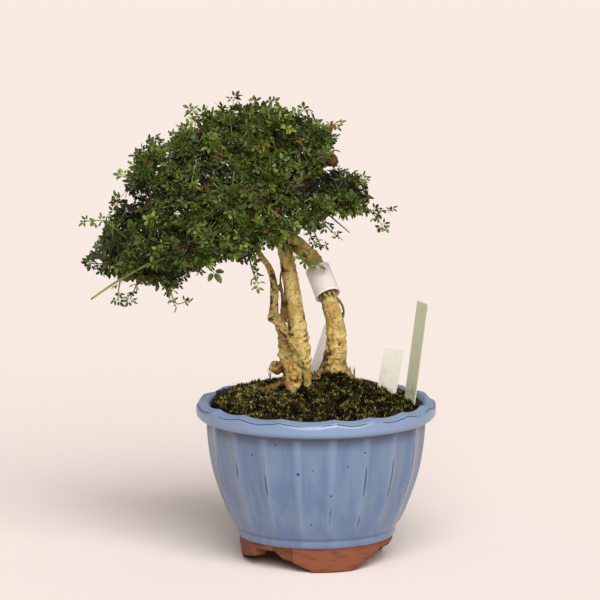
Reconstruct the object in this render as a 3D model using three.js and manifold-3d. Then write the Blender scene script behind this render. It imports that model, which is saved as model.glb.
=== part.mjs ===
// Winter jasmine bonsai in a round, fluted, blue-glazed pot on three clay feet.
// Millimetres, +Z up. The pot's axis is the modelling axis; the finished group is moved so
// that its origin is the middle of the model's footprint, at the height of the feet.
// Azimuths are in degrees from the front (-Y) towards the right (+X).

import * as THREE from "three";
import Module from "manifold-3d";
import { mergeVertices } from "three/addons/utils/BufferGeometryUtils.js";

const wasm = await Module();
wasm.setup();
const { Manifold } = wasm;

// Driving dimensions of the pot

const POT_RADIUS = 105;
const POT_HEIGHT = 142;
const FLUTE_COUNT = 18;
const FLUTE_DEPTH = 2.4;
const FLUTE_AZIMUTH = 9.5;
const COLUMNS_PER_FLUTE = 3;
const FOOT_RING_RADIUS = 65;
const FOOT_RING_INNER = 54;
const FOOT_RING_HEIGHT = 22;
const UNDERSIDE_HEIGHT = 16;
const FLOOR_HEIGHT = 23;
const DRAIN_RADIUS = 13;
const WALL_COLUMNS = 32;

// Outside of the pot from the foot up: radius, height, share of the flute's depth,
// and how far the rim's scoops press the point in and down
const POT_OUTSIDE = [
  { r: FOOT_RING_RADIUS, z: 0 },
  { r: 67.3, z: FOOT_RING_HEIGHT },
  { r: 69.4, z: 24.5 },
  { r: 69.6, z: 29 },
  { r: 75.9, z: 39, flute: 0.8 },
  { r: 83.4, z: 57, flute: 1 },
  { r: 91.2, z: 82, flute: 1 },
  { r: 94.8, z: 104, flute: 1 },
  { r: 96.0, z: 124.5, flute: 0.9 },
  { r: 101.2, z: 126 },
  { r: 104.4, z: 129 },
  { r: POT_RADIUS, z: 133.5 },
  { r: 104.6, z: 137.8, drop: 2.4 },
  { r: 99.5, z: 141.2, drop: 2.2, spread: 0.4 },
  { r: 96.2, z: POT_HEIGHT, drop: 1.8, spread: 0.8 },
  { r: 93.4, z: 139.6, drop: 1.2, spread: 1.0 },
];

// Inside of the pot from the floor up
const POT_INSIDE = [
  { r: 60, z: FLOOR_HEIGHT },
  { r: 76, z: 54 },
  { r: 89.5, z: 112 },
  { r: 91.8, z: 134 },
];

// The roof of each gap between two feet: azimuth and height, from one foot to the next
const FOOT_GAP_INNER_RADIUS = 42;
const FOOT_GAP_OUTER_RADIUS = 80;
const FRONT_LEFT_GAP = [
  [-95, 0],
  [-78, 5],
  [-54.5, 9.4],
  [-53.5, 17.3],
  [-35.5, 17.3],
  [-27.5, 10.7],
  [-19, 9],
  [-5, 2.2],
  [-4, 0],
];
const RIGHT_GAP = [
  [28.5, 0],
  [34.5, 3],
  [51.5, 12.4],
  [59, 16.4],
  [92, 16.4],
  [100, 9],
  [113, 3],
  [116, 0],
];
const BACK_GAP_TURN = 120;

// How far a cut runs past the face that it opens, and how the mouth widens per mm of height
const CUT_OVERRUN = 1;
const MOUTH_FLARE = 0.25;

// Points nearer than this are one point when a body is cleaned
const SCRAP_DISTANCE = 2e-3;

// Driving dimensions of the filling

const CLEARANCE = 0.35;
const MOUND_EDGE_HEIGHT = 138;
const MOUND_RISE = 15;
const MOUND_RADIUS = 95;
const MOUND_CENTRE = [-4, 5];
const MOUND_ROUNDNESS = 1.2;
const ROOT_SWELL = { x: 14, y: 0, rise: 16, radius: 22 };
const MOSS_THICKNESS = 6;
const SOIL_BELOW_MOSS = 1;
const MOSS_RELIEF = 1.6;

// Three crossing waves raise the moss in cushions: turns per mm along x and y, and the start
const MOSS_WAVES = [
  { x: 0.33, y: 0.11, start: 0 },
  { x: -0.17, y: 0.41, start: 1.3 },
  { x: 0.23, y: 0.29, start: 4 },
];
const SOIL_RINGS = [70, 36, 18, 0];
const MOSS_RINGS = [80, 68, 56, 44, 32, 18, 0];
const MESH_RADIUS = 20;
const MESH_THICKNESS = 1;
const MESH_HOLE = 5;
const MESH_PITCH = 7.5;
const MESH_COLUMNS = 18;

// Driving dimensions of the wood. Each stem is a list of [x, y, z, radius]

const CENTRE_TRUNK = [
  [-14, -12, 118, 5],
  [-17, -13.5, 140, 7],
  [-17.5, -13, 158, 7.4],
  [-15, -11, 178, 9.6],
  [-16, -9, 198, 9],
  [-17, -8, 214, 8],
  [-20.6, -5, 235, 7.2],
  [-23, -3, 252, 6.9],
  [-26.5, 0, 270, 6.4],
  [-34, 3, 292, 5.6],
  [-46, 6, 314, 4.6],
  [-58, 6, 334, 3.4],
];
const LEFT_TRUNK = [
  [-57, -4, 286, 1.8],
  [-49, -7, 271, 2.4],
  [-41, -10, 260, 2.8],
  [-37.2, -12, 249, 3.2],
  [-36.4, -14, 232, 3.8],
  [-36.4, -15.5, 219, 4.2],
  [-30.5, -15.5, 209, 4.4],
  [-22, -16.5, 198, 4.6],
  [-14, -18, 186, 4.4],
  [-9, -18.5, 174, 4.2],
  [-8, -19.5, 164, 3.6],
  [-8, -22, 153, 2.4],
];
const LEFT_ROOT = [
  [-33, -14, 212, 3.2],
  [-28, -11, 197, 5],
  [-26.5, -11, 181, 6],
  [-23.5, -13, 165, 5.4],
  [-22, -18, 155, 4.4],
  [-21, -23, 148, 3],
];
const RIGHT_TRUNK = [
  [14, 2, 136, 5.5],
  [15, 2, 154, 8.2],
  [15.5, 2, 172, 8.9],
  [18, 2, 190, 8.4],
  [17, 4, 206, 7.9],
  [11.8, 7, 224, 7.3],
  [6.1, 18, 242, 7],
  [-1, 29, 257, 7.1],
  [-13, 30, 270, 7],
  [-27, 24, 282, 6.6],
  [-38, 14, 292, 5.6],
  [-52, 2, 300, 4.4],
];
// Roots on the mound: each point's third number is its height above the moss
const SURFACE_ROOTS = [
  [[12, 1, 13, 5], [7, -2, 2, 4.4], [1, -7, -1, 3.2], [-4, -13, -3, 2]],
  [[19, 2, 12, 5], [24, 3, 3, 4.4], [30, 4, 0, 3.2], [36, 7, -3, 2]],
  [[15, 8, 9, 4], [17, 18, 0, 3.6], [20, 28, -3, 2]],
  [[-12, -12, 15, 4.4], [-6, -11, 4, 4], [1, -11, 0.5, 3], [7, -13, -3, 2]],
  [[-24, -7, 7, 4.4], [-32, -4, 3, 3.6], [-40, -1, 1, 2.8], [-46, 1, -3, 2]],
  [[-34, -10, 21, 4.8], [-29, -11, 20.5, 4.6], [-22, -12, 17.5, 4]],
];
const KNOB = { x: -34.5, y: -10, z: 171.5, r: 5.6 };
const BEND_KNOB = { x: -38, y: -16, z: 216.5, r: 4.6 };
const KNOB_ROUGHNESS = 0.12;
const AERIAL_ROOT = [
  [10, 12, 230, 0.9],
  [16.5, 8.6, 230.6, 1.1],
  [21.4, 6, 226, 1.2],
  [24.2, 4, 219, 1.1],
  [22.8, 3.6, 210, 0.9],
];
const STUB_BRANCH = [
  [-36, 15, 290, 4.4],
  [-30, 7, 312, 3.8],
  [-23, 3, 328, 3.4],
  [-11, 1, 339, 3.2],
  [8, -2, 350, 3.4],
];
const BURL = { x: 13.5, y: -2.5, z: 352.5, r: 5.6 };
const BRANCHES = [
  [[-34, 3, 291, 4], [-70, -8, 296, 3.4], [-112, -16, 284, 2.6], [-146, -18, 268, 1.6]],
  [[-46, 6, 314, 3.6], [-84, 8, 326, 3], [-122, 12, 322, 2.4], [-158, 4, 306, 1.5]],
  [[-58, 6, 334, 3], [-82, 0, 356, 2.4], [-108, -6, 370, 1.4]],
  [[-57, 6, 333, 2.8], [-52, 8, 356, 2.2], [-44, 4, 380, 1.3]],
  [[-30, 7, 312, 2.6], [-4, 16, 316, 2.4], [24, 8, 316, 2], [46, 2, 315, 1.2]],
  [[-34, 3, 291, 3], [-44, -34, 296, 2.4], [-66, -66, 300, 1.4]],
  [[-50, 3, 300, 3], [-62, 44, 304, 2.4], [-84, 76, 304, 1.4]],
  [[-46, 6, 314, 2.8], [-58, -34, 342, 2.2], [-70, -58, 356, 1.3]],
  [[-46, 6, 314, 2.8], [-60, 42, 344, 2.2], [-72, 62, 358, 1.3]],
];

// Driving dimensions of the plastic collar round the right trunk

const COLLAR = { radius: 11, wall: 1.1, length: 28, columns: 24 };
const COLLAR_MIDDLE = [5.9, 18.4, 242];
const COLLAR_AXIS = [-10.5, 18, 23.5];

// Driving dimensions of the plant labels and of the feeding cake

const LABEL_WIDTH = 17.2;
const LABEL_THICKNESS = 0.8;
const LABEL_POINT = 12;
const LABEL_TIP_HALF_WIDTH = 1.5;
const LABELS = [
  {
    name: "label_green",
    foot: [81.5, -8, 139],
    buried: 22,
    length: 90,
    azimuth: 59,
    lean: 6,
    roll: 1.5,
  },
  {
    name: "label_white_front",
    foot: [62, 13, 146],
    buried: 24,
    length: 38,
    azimuth: 4,
    lean: 10,
    roll: 0,
  },
  {
    name: "label_white_rear",
    foot: [-4.6, 35, 151.8],
    buried: 22,
    length: 57,
    azimuth: -57,
    lean: 19,
    roll: 0,
  },
];
const CAKE = { x: -82.5, y: 6, size: 9, height: 9, bottom: 138.8, turn: 12 };

// Driving dimensions of the crown. Slices across the crown, from its left end to its
// right end: x, height of the middle line, top, bottom, and half its depth
const CROWN_SLICES = [
  { x: -198, middle: 262, top: 268, bottom: 256, depth: 24 },
  { x: -186, middle: 268, top: 287, bottom: 246, depth: 50 },
  { x: -174, middle: 273, top: 312, bottom: 240, depth: 64 },
  { x: -165, middle: 277, top: 345, bottom: 239, depth: 73 },
  { x: -155, middle: 282, top: 366, bottom: 238, depth: 80 },
  { x: -135, middle: 287, top: 381, bottom: 238, depth: 90 },
  { x: -110, middle: 292, top: 393, bottom: 244, depth: 98 },
  { x: -75, middle: 298, top: 404, bottom: 260, depth: 102 },
  { x: -40, middle: 304, top: 405, bottom: 271, depth: 96 },
  { x: -12, middle: 312, top: 392, bottom: 284, depth: 84 },
  { x: 10, middle: 318, top: 387, bottom: 295, depth: 66 },
  { x: 22, middle: 317, top: 356, bottom: 298, depth: 54 },
  { x: 30, middle: 316, top: 340, bottom: 299, depth: 48 },
  { x: 50, middle: 315, top: 334, bottom: 300, depth: 34 },
  { x: 72, middle: 311, top: 318, bottom: 304, depth: 12 },
];

// Rows of sprays: x, how many round the crown, first and last angle round the crown
// (0 front, 90 top, 180 back, 270 below), and how deep their cores lie under the crown's skin
const SPRAY_ROWS = [
  { x: -178, count: 3, first: -10, last: 190, depth: 19, core: 19 },
  { x: -146, count: 6, first: -45, last: 225, depth: 22, core: 23 },
  { x: -109, count: 6, first: -16, last: 196, depth: 22, core: 24 },
  { x: -72, count: 7, first: -14, last: 194, depth: 22, core: 24 },
  { x: -37, count: 6, first: -8, last: 188, depth: 22, core: 23 },
  { x: -5, count: 5, first: 0, last: 180, depth: 21, core: 21 },
  { x: 24, count: 3, first: 4, last: 176, depth: 16, core: 15 },
  { x: 50, count: 1, first: 60, last: 60, depth: 17, core: 13 },
];
const LOW_SPRAYS = [
  { x: -162, y: -8, z: 263, core: 15 },
  { x: -124, y: 2, z: 264, core: 18 },
  { x: -86, y: 4, z: 282, core: 18 },
];
const LOW_SPRAY_OUTWARD = [-0.2, -0.1, -1];
const CORE_FLATNESS = 0.62;
const CORE_STRETCH = 1.25;
const CORE_ROUGHNESS = 0.22;
const CORE_LEAST_DEPTH = 4;
const CROWN_MIDDLE_X = -75;
const CROWN_HALF_SPAN = 160;
const END_TURN = 0.9;
const LEAVES_PER_SPRAY = 4;
const OUTER_FACES = 10;
const FACE_STEP = 3;
const LEAF_TRIES = 90;
const ROOT_CHOICES = 6;
const SHOOT_LEAF_PLACES = [0.7, 1];
const STALK_SUNK = 0.9;
const LEAF_TOUCH = 0.02;
const LEAFLET_LENGTH = 10.8;
const LEAFLET_HALF_WIDTH = 3.3;
const LEAFLET_WIDEST = 0.5;
const SIDE_LEAFLET_SHARE = 0.92;
const END_LEAFLET_SHARE = 1.1;
const LEAF_THICKNESS = 1;
const LEAF_STALK = 6;
const LEAF_SUNK = 2.2;
const LEAFLET_SPREAD = 72;
const LEAFLET_NOTCH = 0.9;
const STALK_HALF_WIDTH = 1.1;
const STALK_JOINT = 0.6;
const STALK_SPREAD = 2.5;
const LEAF_SIZE_LEAST = 0.88;
const LEAF_SIZE_SPREAD = 0.3;
const LEAF_RISE = 0.62;
const LEAF_LEAN = 0.78;
const LEAF_TILT = 0.4;
const SHOOT_LEAF_FORWARD = 0.7;
const SHOOT_LEAF_SIZE_LEAST = 0.85;
const SHOOT_TAPER = 0.45;
const SHOOT_STALK_SHARE = 0.45;

// Leafy shoots that stand out of the crown or hang below it: points of the stem,
// its radius at the root, and the leaflet length of the leaves along it
const SHOOTS = [
  { r: 0.9, leaf: 6.5, stem: [[-150, -18, 278], [-162, -22, 286], [-184, -25, 303], [-199, -25, 303]] },
  { r: 1.6, leaf: 0, stem: [[-138, -20, 268], [-158, -30, 259], [-194, -38, 239]] },
  { r: 0.8, leaf: 6, stem: [[-164, -14, 264], [-170, -25, 249], [-172, -26, 233]] },
  { r: 0.8, leaf: 6, stem: [[-146, -22, 266], [-155, -33, 249], [-161, -35, 236]] },
  { r: 0.8, leaf: 6.5, stem: [[-126, -20, 264], [-127, -34, 251], [-121, -38, 233], [-113, -36, 234]] },
  { r: 0.8, leaf: 10.5, stem: [[-98, -24, 280], [-94, -46, 264], [-87, -50, 254]] },
  { r: 0.8, leaf: 7, stem: [[-60, -34, 286], [-56, -48, 268], [-50, -50, 252]] },
  {
    r: 0.9,
    leaf: 7.5,
    stem: [[-64, -40, 300], [-50, -44, 296], [-28, -30, 282], [-10, -10, 268], [3, 6, 259]],
  },
  { r: 0.9, leaf: 6.5, stem: [[26, 0, 316], [40, -10, 312], [52, -12, 310], [64, -12, 310]] },
  { r: 0.9, leaf: 6, stem: [[6, -14, 314], [16, -20, 307], [29, -22, 293]] },
  { r: 0.8, leaf: 6.5, stem: [[-14, -24, 312], [-4, -34, 298], [3, -36, 286]] },
  { r: 0.9, leaf: 7.5, stem: [[-88, 2, 380], [-98, 0, 390], [-107, 0, 396]] },
  { r: 0.8, leaf: 6, stem: [[-146, 0, 330], [-158, 0, 336], [-168, 0, 339]] },
  { r: 0.8, leaf: 7.5, stem: [[-22, 2, 374], [-17, 0, 390], [-10, 0, 397]] },
  { r: 0.8, leaf: 7.5, stem: [[-2, 2, 372], [8, 0, 382], [18, 0, 384]] },
];

// Seeds of the random streams
const CORE_SEED = 100;
const SHOOT_SEED = 300;
const LEAF_SEED = 1000;

// Colours and finishes

const FINISHES = {
  glaze: new THREE.MeshStandardMaterial({ color: "#8097bd", roughness: 0.28, metalness: 0 }),
  soil: new THREE.MeshStandardMaterial({ color: "#5a4634", roughness: 0.95, metalness: 0 }),
  moss: new THREE.MeshStandardMaterial({ color: "#4d5520", roughness: 0.95, metalness: 0 }),
  bark: new THREE.MeshStandardMaterial({ color: "#b9a26c", roughness: 0.8, metalness: 0 }),
  leaf: new THREE.MeshStandardMaterial({ color: "#3d6124", roughness: 0.5, metalness: 0 }),
  whitePlastic: new THREE.MeshStandardMaterial({ color: "#ece6e2", roughness: 0.35, metalness: 0 }),
  greenPlastic: new THREE.MeshStandardMaterial({ color: "#bcc4a2", roughness: 0.4, metalness: 0 }),
  blackPlastic: new THREE.MeshStandardMaterial({ color: "#232323", roughness: 0.5, metalness: 0 }),
  cake: new THREE.MeshStandardMaterial({ color: "#2b211b", roughness: 0.9, metalness: 0 }),
};

// Small tools

// A repeatable stream of numbers from 0 to 1
function randomStream(seed) {
  let state = seed >>> 0;
  return () => {
    state = (state + 0x6d2b79f5) >>> 0;
    let t = state;
    t = Math.imul(t ^ (t >>> 15), t | 1);
    t ^= t + Math.imul(t ^ (t >>> 7), t | 61);
    return ((t ^ (t >>> 14)) >>> 0) / 4294967296;
  };
}

const radians = THREE.MathUtils.degToRad;

// The point at an azimuth, a radius and a height
function around(azimuth, radius, z) {
  const a = radians(azimuth);
  return new THREE.Vector3(radius * Math.sin(a), -radius * Math.cos(a), z);
}

// A solid from a closed triangle geometry, turned right side out if it came inside out
function toSolid(geometry, mergeDistance = 1e-4) {
  const bare = geometry.clone();
  for (const attribute of Object.keys(bare.attributes)) {
    if (attribute !== "position") {
      bare.deleteAttribute(attribute);
    }
  }
  const merged = mergeVertices(bare, mergeDistance);
  const vertProperties = new Float32Array(merged.attributes.position.array);
  const triVerts = new Uint32Array(merged.index.array);
  const build = () => new Manifold(new wasm.Mesh({ numProp: 3, vertProperties, triVerts }));
  let solid = build();
  if (solid.volume() < 0) {
    for (let i = 0; i < triVerts.length; i += 3) {
      [triVerts[i], triVerts[i + 1]] = [triVerts[i + 1], triVerts[i]];
    }
    solid = build();
  }
  return solid;
}

// A closed skin over rings of points. A ring of one point is a pole.
function skin(rings) {
  const positions = [];
  const index = [];
  const starts = [];
  for (const ring of rings) {
    starts.push(positions.length / 3);
    ring.forEach((p) => positions.push(p.x, p.y, p.z));
  }
  for (let i = 0; i + 1 < rings.length; i += 1) {
    const [a, b] = [rings[i].length, rings[i + 1].length];
    const columns = Math.max(a, b);
    for (let j = 0; j < columns; j += 1) {
      const k = (j + 1) % columns;
      if (a > 1) {
        index.push(starts[i] + j, starts[i] + k, starts[i + 1] + (b > 1 ? k : 0));
      }
      if (b > 1) {
        index.push(starts[i] + (a > 1 ? j : 0), starts[i + 1] + k, starts[i + 1] + j);
      }
    }
  }
  const geometry = new THREE.BufferGeometry();
  geometry.setAttribute("position", new THREE.Float32BufferAttribute(positions, 3));
  geometry.setIndex(index);
  return toSolid(geometry);
}

// The triangle geometry of a solid
function toGeometry(solid) {
  const { vertProperties, triVerts } = solid.getMesh();
  const geometry = new THREE.BufferGeometry();
  geometry.setAttribute("position", new THREE.Float32BufferAttribute(vertProperties, 3));
  geometry.setIndex(Array.from(triVerts));
  return geometry;
}

// A named mesh from a solid
function toMesh(name, solid, material) {
  const geometry = toGeometry(solid);
  geometry.computeVertexNormals();
  const mesh = new THREE.Mesh(geometry, material);
  mesh.name = name;
  return mesh;
}

// The largest body of a solid once near points are merged, so that a scrap is dropped
function largestBody(solid) {
  const merged = toSolid(toGeometry(solid), SCRAP_DISTANCE);
  return merged.decompose().reduce((best, body) => (body.volume() > best.volume() ? body : best));
}

// A round solid turned from a profile of radii and heights, closed on the axis
function turned(profile, columns) {
  const ring = ({ r, z }) =>
    Array.from({ length: columns }, (_, j) => around((360 * j) / columns, r, z));
  const pole = ({ z }) => [new THREE.Vector3(0, 0, z)];
  return skin([pole(profile[0]), ...profile.map(ring), pole(profile[profile.length - 1])]);
}

// A tapering stem along a smooth curve through [x, y, z, radius], with an uneven surface
function stem(points, { sides, steps, grow = 0, seed = 1, uneven = 0 }) {
  const curve = new THREE.CatmullRomCurve3(points.map(([x, y, z]) => new THREE.Vector3(x, y, z)));
  const random = randomStream(seed);
  const frames = curve.computeFrenetFrames(steps, false);
  const rings = [];
  for (let i = 0; i <= steps; i += 1) {
    const t = i / steps;
    const s = t * (points.length - 1);
    const k = Math.min(Math.floor(s), points.length - 2);
    const radius = THREE.MathUtils.lerp(points[k][3], points[k + 1][3], s - k);
    const longer = grow * (i === steps ? 1 : i === 0 ? -1 : 0);
    const centre = curve.getPoint(t).addScaledVector(frames.tangents[i], longer);
    const ring = [];
    for (let j = 0; j < sides; j += 1) {
      const angle = (2 * Math.PI * j) / sides;
      const r = radius * (1 + uneven * (random() - 0.5)) + grow;
      const side = frames.normals[i].clone().multiplyScalar(r * Math.cos(angle));
      side.addScaledVector(frames.binormals[i], r * Math.sin(angle));
      ring.push(centre.clone().add(side));
    }
    if (i === 0) {
      rings.push([centre]);
    }
    rings.push(ring);
    if (i === steps) {
      rings.push([centre]);
    }
  }
  return skin(rings);
}

// The corner points of a rough round lump with twenty faces, stretched along three axes
function lumpGeometry(centre, radii, axes, random, roughness) {
  const geometry = new THREE.IcosahedronGeometry(1, 0);
  const corners = new Map();
  const position = geometry.attributes.position;
  for (let i = 0; i < position.count; i += 1) {
    const p = new THREE.Vector3().fromBufferAttribute(position, i);
    const key = p.toArray().map((v) => v.toFixed(3)).join();
    if (!corners.has(key)) {
      const size = 1 - roughness * random();
      const placed = new THREE.Vector3(...centre);
      axes.forEach((axis, n) => {
        placed.addScaledVector(axis, p.getComponent(n) * radii[n] * size);
      });
      corners.set(key, placed);
    }
    const { x, y, z } = corners.get(key);
    position.setXYZ(i, x, y, z);
  }
  return geometry;
}

const WORLD_AXES = [
  new THREE.Vector3(1, 0, 0),
  new THREE.Vector3(0, 1, 0),
  new THREE.Vector3(0, 0, 1),
];
const BACK_AND_UP = new THREE.Vector3(0, 1, 0.3);

// Pot

// The outer wall: flutes are shallow arcs that meet in sharp ridges, and the rim is pressed
// in one scoop above each flute
function potOutside() {
  const columns = FLUTE_COUNT * COLUMNS_PER_FLUTE;
  const ring = ({ r, z, flute = 0, drop = 0, spread = 0 }) =>
    Array.from({ length: columns }, (_, j) => {
      const scoop = Math.abs(Math.sin((Math.PI * j) / COLUMNS_PER_FLUTE));
      const azimuth = FLUTE_AZIMUTH + (360 * j) / columns;
      return around(azimuth, r - scoop * (flute * FLUTE_DEPTH - spread), z - scoop * drop);
    });
  const bottom = [new THREE.Vector3(0, 0, 0)];
  const top = [new THREE.Vector3(0, 0, POT_OUTSIDE[POT_OUTSIDE.length - 1].z)];
  return skin([bottom, ...POT_OUTSIDE.map(ring), top]);
}

// The filled space inside the pot, shrunk by a clearance
function potInside(shrink, top) {
  const [floor, ...wall] = POT_INSIDE;
  const last = POT_INSIDE[POT_INSIDE.length - 1];
  const mouth = { r: last.r + (top - last.z) * MOUTH_FLARE, z: top };
  const profile = [{ r: floor.r, z: floor.z + shrink }, ...wall, mouth];
  return turned(
    profile.map(({ r, z }) => ({ r: r - shrink, z })),
    WALL_COLUMNS,
  );
}

// The space between two feet, from below the floor up to the gap's roof, turned to its place
function footGap(roof, turn) {
  const slice = ([azimuth, height]) => {
    const corner = (radius, z) => around(azimuth + turn, radius, z);
    return [
      corner(FOOT_GAP_OUTER_RADIUS, -CUT_OVERRUN),
      corner(FOOT_GAP_OUTER_RADIUS, height),
      corner(FOOT_GAP_INNER_RADIUS, height),
      corner(FOOT_GAP_INNER_RADIUS, -CUT_OVERRUN),
    ];
  };
  const middle = (ring) => {
    const sum = ring.reduce((total, p) => total.add(p), new THREE.Vector3());
    return [sum.divideScalar(ring.length)];
  };
  const slices = roof.map(slice);
  return skin([middle(slices[0]), ...slices, middle(slices[slices.length - 1])]);
}

function pot() {
  const underside = turned(
    [
      { r: FOOT_RING_INNER, z: -CUT_OVERRUN },
      { r: FOOT_RING_INNER - 2, z: UNDERSIDE_HEIGHT },
    ],
    WALL_COLUMNS,
  );
  const drain = turned(
    [
      { r: DRAIN_RADIUS, z: UNDERSIDE_HEIGHT - CUT_OVERRUN },
      { r: DRAIN_RADIUS, z: FLOOR_HEIGHT + CUT_OVERRUN },
    ],
    WALL_COLUMNS,
  );
  const feet = [
    footGap(FRONT_LEFT_GAP, 0),
    footGap(RIGHT_GAP, 0),
    footGap(RIGHT_GAP, BACK_GAP_TURN),
  ];
  const cuts = [potInside(0, POT_HEIGHT + CUT_OVERRUN), underside, drain, ...feet];
  return cuts.reduce((body, cut) => body.subtract(cut), potOutside());
}

// A disc of plastic net over the drain hole
function drainageMesh() {
  const bottom = FLOOR_HEIGHT + CLEARANCE;
  const disc = turned(
    [
      { r: MESH_RADIUS, z: bottom },
      { r: MESH_RADIUS, z: bottom + MESH_THICKNESS },
    ],
    MESH_COLUMNS,
  );
  const holes = [];
  for (let i = -1; i <= 1; i += 1) {
    for (let j = -1; j <= 1; j += 1) {
      const hole = new THREE.BoxGeometry(MESH_HOLE, MESH_HOLE, 4);
      holes.push(toSolid(hole.translate(i * MESH_PITCH, j * MESH_PITCH, bottom)));
    }
  }
  return disc.subtract(Manifold.union(holes));
}

// Filling

// Height of the mound's surface over a point
function moundHeight(x, y) {
  const d = Math.hypot(x - MOUND_CENTRE[0], y - MOUND_CENTRE[1]) / MOUND_RADIUS;
  const swell = Math.hypot(x - ROOT_SWELL.x, y - ROOT_SWELL.y) / ROOT_SWELL.radius;
  const dome = Math.pow(Math.max(1 - d * d, 0), MOUND_ROUNDNESS);
  return MOUND_EDGE_HEIGHT + MOUND_RISE * dome + ROOT_SWELL.rise * Math.exp(-swell * swell);
}

// The radius at which the moss meets the pot's wall
function mossEdge() {
  return POT_INSIDE[POT_INSIDE.length - 1].r - 2 * CLEARANCE;
}

// Rings over the mound at a depth below its surface, from the rim to the middle
function moundRings(radii, depth, relief) {
  return radii.map((r) => {
    const columns = r > 0 ? WALL_COLUMNS : 1;
    return Array.from({ length: columns }, (_, j) => {
      const p = around((360 * j) / WALL_COLUMNS, r, 0);
      return p.setZ(moundHeight(p.x, p.y) - depth + relief(p));
    });
  });
}

function soil(holes) {
  const wall = potInside(CLEARANCE, POT_HEIGHT);
  const below = [new THREE.Vector3(0, 0, 0)];
  const depth = MOSS_THICKNESS + SOIL_BELOW_MOSS;
  const rings = moundRings([mossEdge(), ...SOIL_RINGS], depth, () => 0);
  const wide = rings[0].map((p) => p.clone().multiply(new THREE.Vector3(1.1, 1.1, 1)));
  const skirt = wide.map((p) => p.clone().setZ(0));
  const mound = skin([below, skirt, wide, ...rings]);
  const net = turned(
    [
      { r: MESH_RADIUS + CLEARANCE, z: 0 },
      { r: MESH_RADIUS + CLEARANCE, z: FLOOR_HEIGHT + MESH_THICKNESS + 2 * CLEARANCE },
    ],
    MESH_COLUMNS,
  );
  return largestBody(wall.intersect(mound).subtract(net).subtract(holes));
}

// The moss carpet over the mound, with its cushions
function moss(holes) {
  const cushions = (p) => {
    const waves = MOSS_WAVES.map(({ x, y, start }) => Math.sin(p.x * x + p.y * y + start));
    return (MOSS_RELIEF / 2) * waves.reduce((sum, wave) => sum + wave);
  };
  const top = moundRings([mossEdge(), ...MOSS_RINGS], 0, cushions);
  const bottom = moundRings([mossEdge(), ...SOIL_RINGS].reverse(), MOSS_THICKNESS, () => 0);
  const carpet = skin([...bottom, ...top]);
  return largestBody(carpet.subtract(holes));
}

// Wood

// The two trunks that stand in the soil
function deepTrunks(grow) {
  return [
    stem(CENTRE_TRUNK, { sides: 9, steps: 15, grow, seed: 11, uneven: 0.16 }),
    stem(RIGHT_TRUNK, { sides: 9, steps: 15, grow, seed: 14, uneven: 0.12 }),
  ];
}

// Trunks, roots, branches, the healed cut and the knob, grown together; grow fattens them all
function wood(grow) {
  const parts = [
    ...deepTrunks(grow),
    stem(LEFT_TRUNK, { sides: 6, steps: 13, grow, seed: 12, uneven: 0.16 }),
    stem(LEFT_ROOT, { sides: 6, steps: 6, grow, seed: 13, uneven: 0.2 }),
    stem(AERIAL_ROOT, { sides: 4, steps: 6, grow, seed: 15 }),
    stem(STUB_BRANCH, { sides: 5, steps: 5, grow, seed: 16, uneven: 0.1 }),
  ];
  SURFACE_ROOTS.forEach((root, n) => {
    const points = root.map(([x, y, rise, r]) => [x, y, moundHeight(x, y) + rise, r]);
    parts.push(stem(points, { sides: 5, steps: 3, grow, seed: 20 + n, uneven: 0.2 }));
  });
  BRANCHES.forEach((points, n) => {
    parts.push(stem(points, { sides: 4, steps: 4, grow, seed: 40 + n, uneven: 0.1 }));
  });
  [KNOB, BURL, BEND_KNOB].forEach(({ x, y, z, r }, n) => {
    const radii = [r + grow, r + grow, r + grow];
    const ball = lumpGeometry([x, y, z], radii, WORLD_AXES, randomStream(60 + n), KNOB_ROUGHNESS);
    parts.push(toSolid(ball));
  });
  return largestBody(Manifold.union(parts));
}

// Collar, labels and feeding cake

function collar() {
  const axis = new THREE.Vector3(...COLLAR_AXIS).normalize();
  const turn = new THREE.Quaternion().setFromUnitVectors(new THREE.Vector3(0, 0, 1), axis);
  const tube = (radius, length) =>
    toSolid(
      new THREE.CylinderGeometry(radius, radius, length, COLLAR.columns)
        .rotateX(Math.PI / 2)
        .applyQuaternion(turn)
        .translate(...COLLAR_MIDDLE),
    );
  const bore = tube(COLLAR.radius - COLLAR.wall, COLLAR.length + 2 * CUT_OVERRUN);
  return tube(COLLAR.radius, COLLAR.length).subtract(bore);
}

// A flat plant label with a pointed foot in the soil; grow fattens it on every side
function label({ foot, buried, length, azimuth, lean, roll }, grow) {
  const half = LABEL_WIDTH / 2 + grow;
  const shape = new THREE.Shape([
    new THREE.Vector2(-half, length),
    new THREE.Vector2(-half, LABEL_POINT - buried),
    new THREE.Vector2(-LABEL_TIP_HALF_WIDTH - grow, -buried - grow),
    new THREE.Vector2(LABEL_TIP_HALF_WIDTH + grow, -buried - grow),
    new THREE.Vector2(half, LABEL_POINT - buried),
    new THREE.Vector2(half, length),
  ]);
  const depth = LABEL_THICKNESS + 2 * grow;
  const plate = new THREE.ExtrudeGeometry(shape, { depth, bevelEnabled: false })
    .translate(0, 0, -depth / 2)
    .rotateX(Math.PI / 2)
    .rotateX(radians(-roll))
    .rotateZ(radians(-azimuth))
    .rotateY(radians(lean))
    .translate(...foot);
  return toSolid(plate);
}

function cake(grow) {
  const { x, y, size, height, bottom, turn } = CAKE;
  const block = new THREE.BoxGeometry(size + 2 * grow, size + 2 * grow, height + 2 * grow);
  return toSolid(block.rotateZ(radians(turn)).translate(x, y, bottom + height / 2));
}

// Crown

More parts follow.
